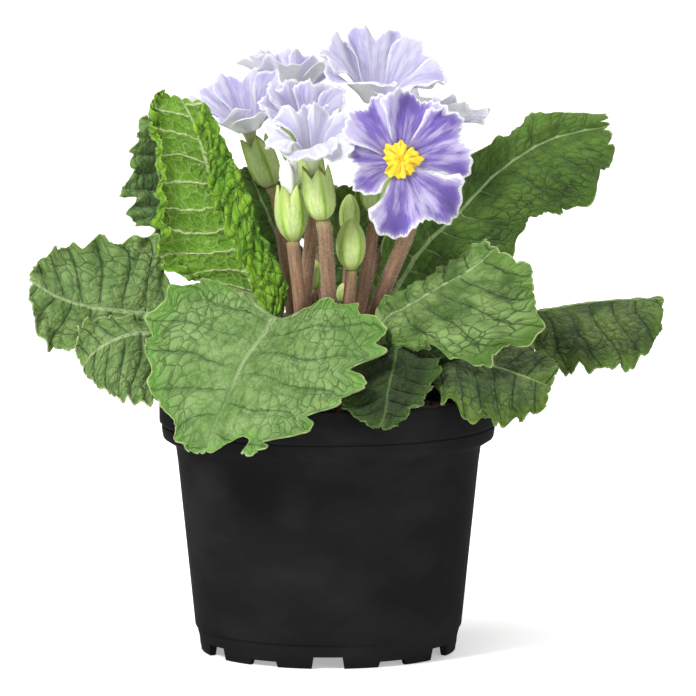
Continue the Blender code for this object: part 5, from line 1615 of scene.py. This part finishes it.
def crumb_tree():
    """Crumbs of peat lying on the soil."""
    growth = Growth("peat_crumbs", "Radius")
    ball = growth.add("GeometryNodeMeshIcoSphere", {}, {"Subdivisions": 2,
                                                        "Radius": growth.given["Radius"]})
    lumps = growth.add("ShaderNodeTexNoise", {}, {"Scale": 900.0})
    less = growth.add("ShaderNodeVectorMath", {"operation": "SUBTRACT"},
                      {0: lumps["Color"], 1: (0.5, 0.5, 0.5)})
    much = growth.add("ShaderNodeVectorMath", {"operation": "SCALE"},
                      {0: less["Vector"], "Scale": 0.0016})
    crumb = growth.add("GeometryNodeSetPosition", {}, {"Geometry": ball["Mesh"],
                                                       "Offset": much["Vector"]})
    return growth.done(crumb["Geometry"],
                       growth.random_vector((0.0, 0.0, 0.0), (6.0, 6.0, 6.0)),
                       growth.random_vector((0.3, 0.3, 0.25), (1.3, 0.9, 0.7)))


def make_soil():
    """The soil with its lumpy top, and crumbs on the part of it round the crown."""
    turns = turns_of(SOIL_SIDES)
    radii = np.linspace(1.0, SOIL_RADIUS, SOIL_RINGS)
    x, y = np.outer(radii, np.cos(turns)), np.outer(radii, np.sin(turns))
    lumps = sum(LUMP_HEIGHT * (1 - nearest(x, y, size, seed) / reach)
                for size, seed, reach in LUMPS)
    lumps = lumps * ease(radii, *LUMPS_SET_IN)[:, None]
    lumps = lumps * (1 - ease(radii, LUMPS_END_FROM, SOIL_RADIUS))[:, None]
    level = np.interp(radii, *SOIL_LEVELS)[:, None] + lumps - SOIL_SUNK
    sides = [round_ring(radius, turns, height) for radius, height in SOIL_EDGE]
    rings = np.concatenate([np.stack([x, y, level], -1), sides])
    peat = soil_finish()
    finish_piece(lofted_piece("soil_fine", rings, {}, peat), ["soil"])

    low, high = CRUMBS_BETWEEN
    bare = rings[:SOIL_RINGS][(radii > low) & (radii < high)]
    quads = ring_quads(len(bare), SOIL_SIDES)[2][:, [0, 3, 2, 1]]
    patch = mesh_from("soil_top", bare.reshape(-1, 3), quads, {}, {})
    grown("soil_crumbs", add_piece("soil_top", patch, peat), crumb_tree(),
          {**CRUMB_SIZES, "Finish": peat}, peat)


def rootstock_finish():
    """Fibrous brown crown of the plant."""
    finish = Finish("brown_crown")
    place = finish.place()
    fibre = finish.noise(finish.stretched(place, (260.0, 260.0, 60.0)), 1.0, 4.0, 0.7)
    fine = finish.noise(place, 900.0, 3.0)
    colour = finish.over(
        finish.mix(fibre.ease(0.3, 0.7), srgb(54, 38, 26), srgb(112, 88, 58)),
        (fine.ease(0.6, 0.8) * 0.4, srgb(140, 124, 84)))
    return finish.done(Base_Color=colour, Roughness=0.9, Normal=finish.bump(fibre, 0.7, 0.0009))


stage_and_camera()
make_leaves()
make_blooms()
make_buds()
make_pot()
make_soil()
bark = rootstock_finish()
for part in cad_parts["rootstock"].material_slots:
    part.material = bark

bpy.context.view_layer.update()
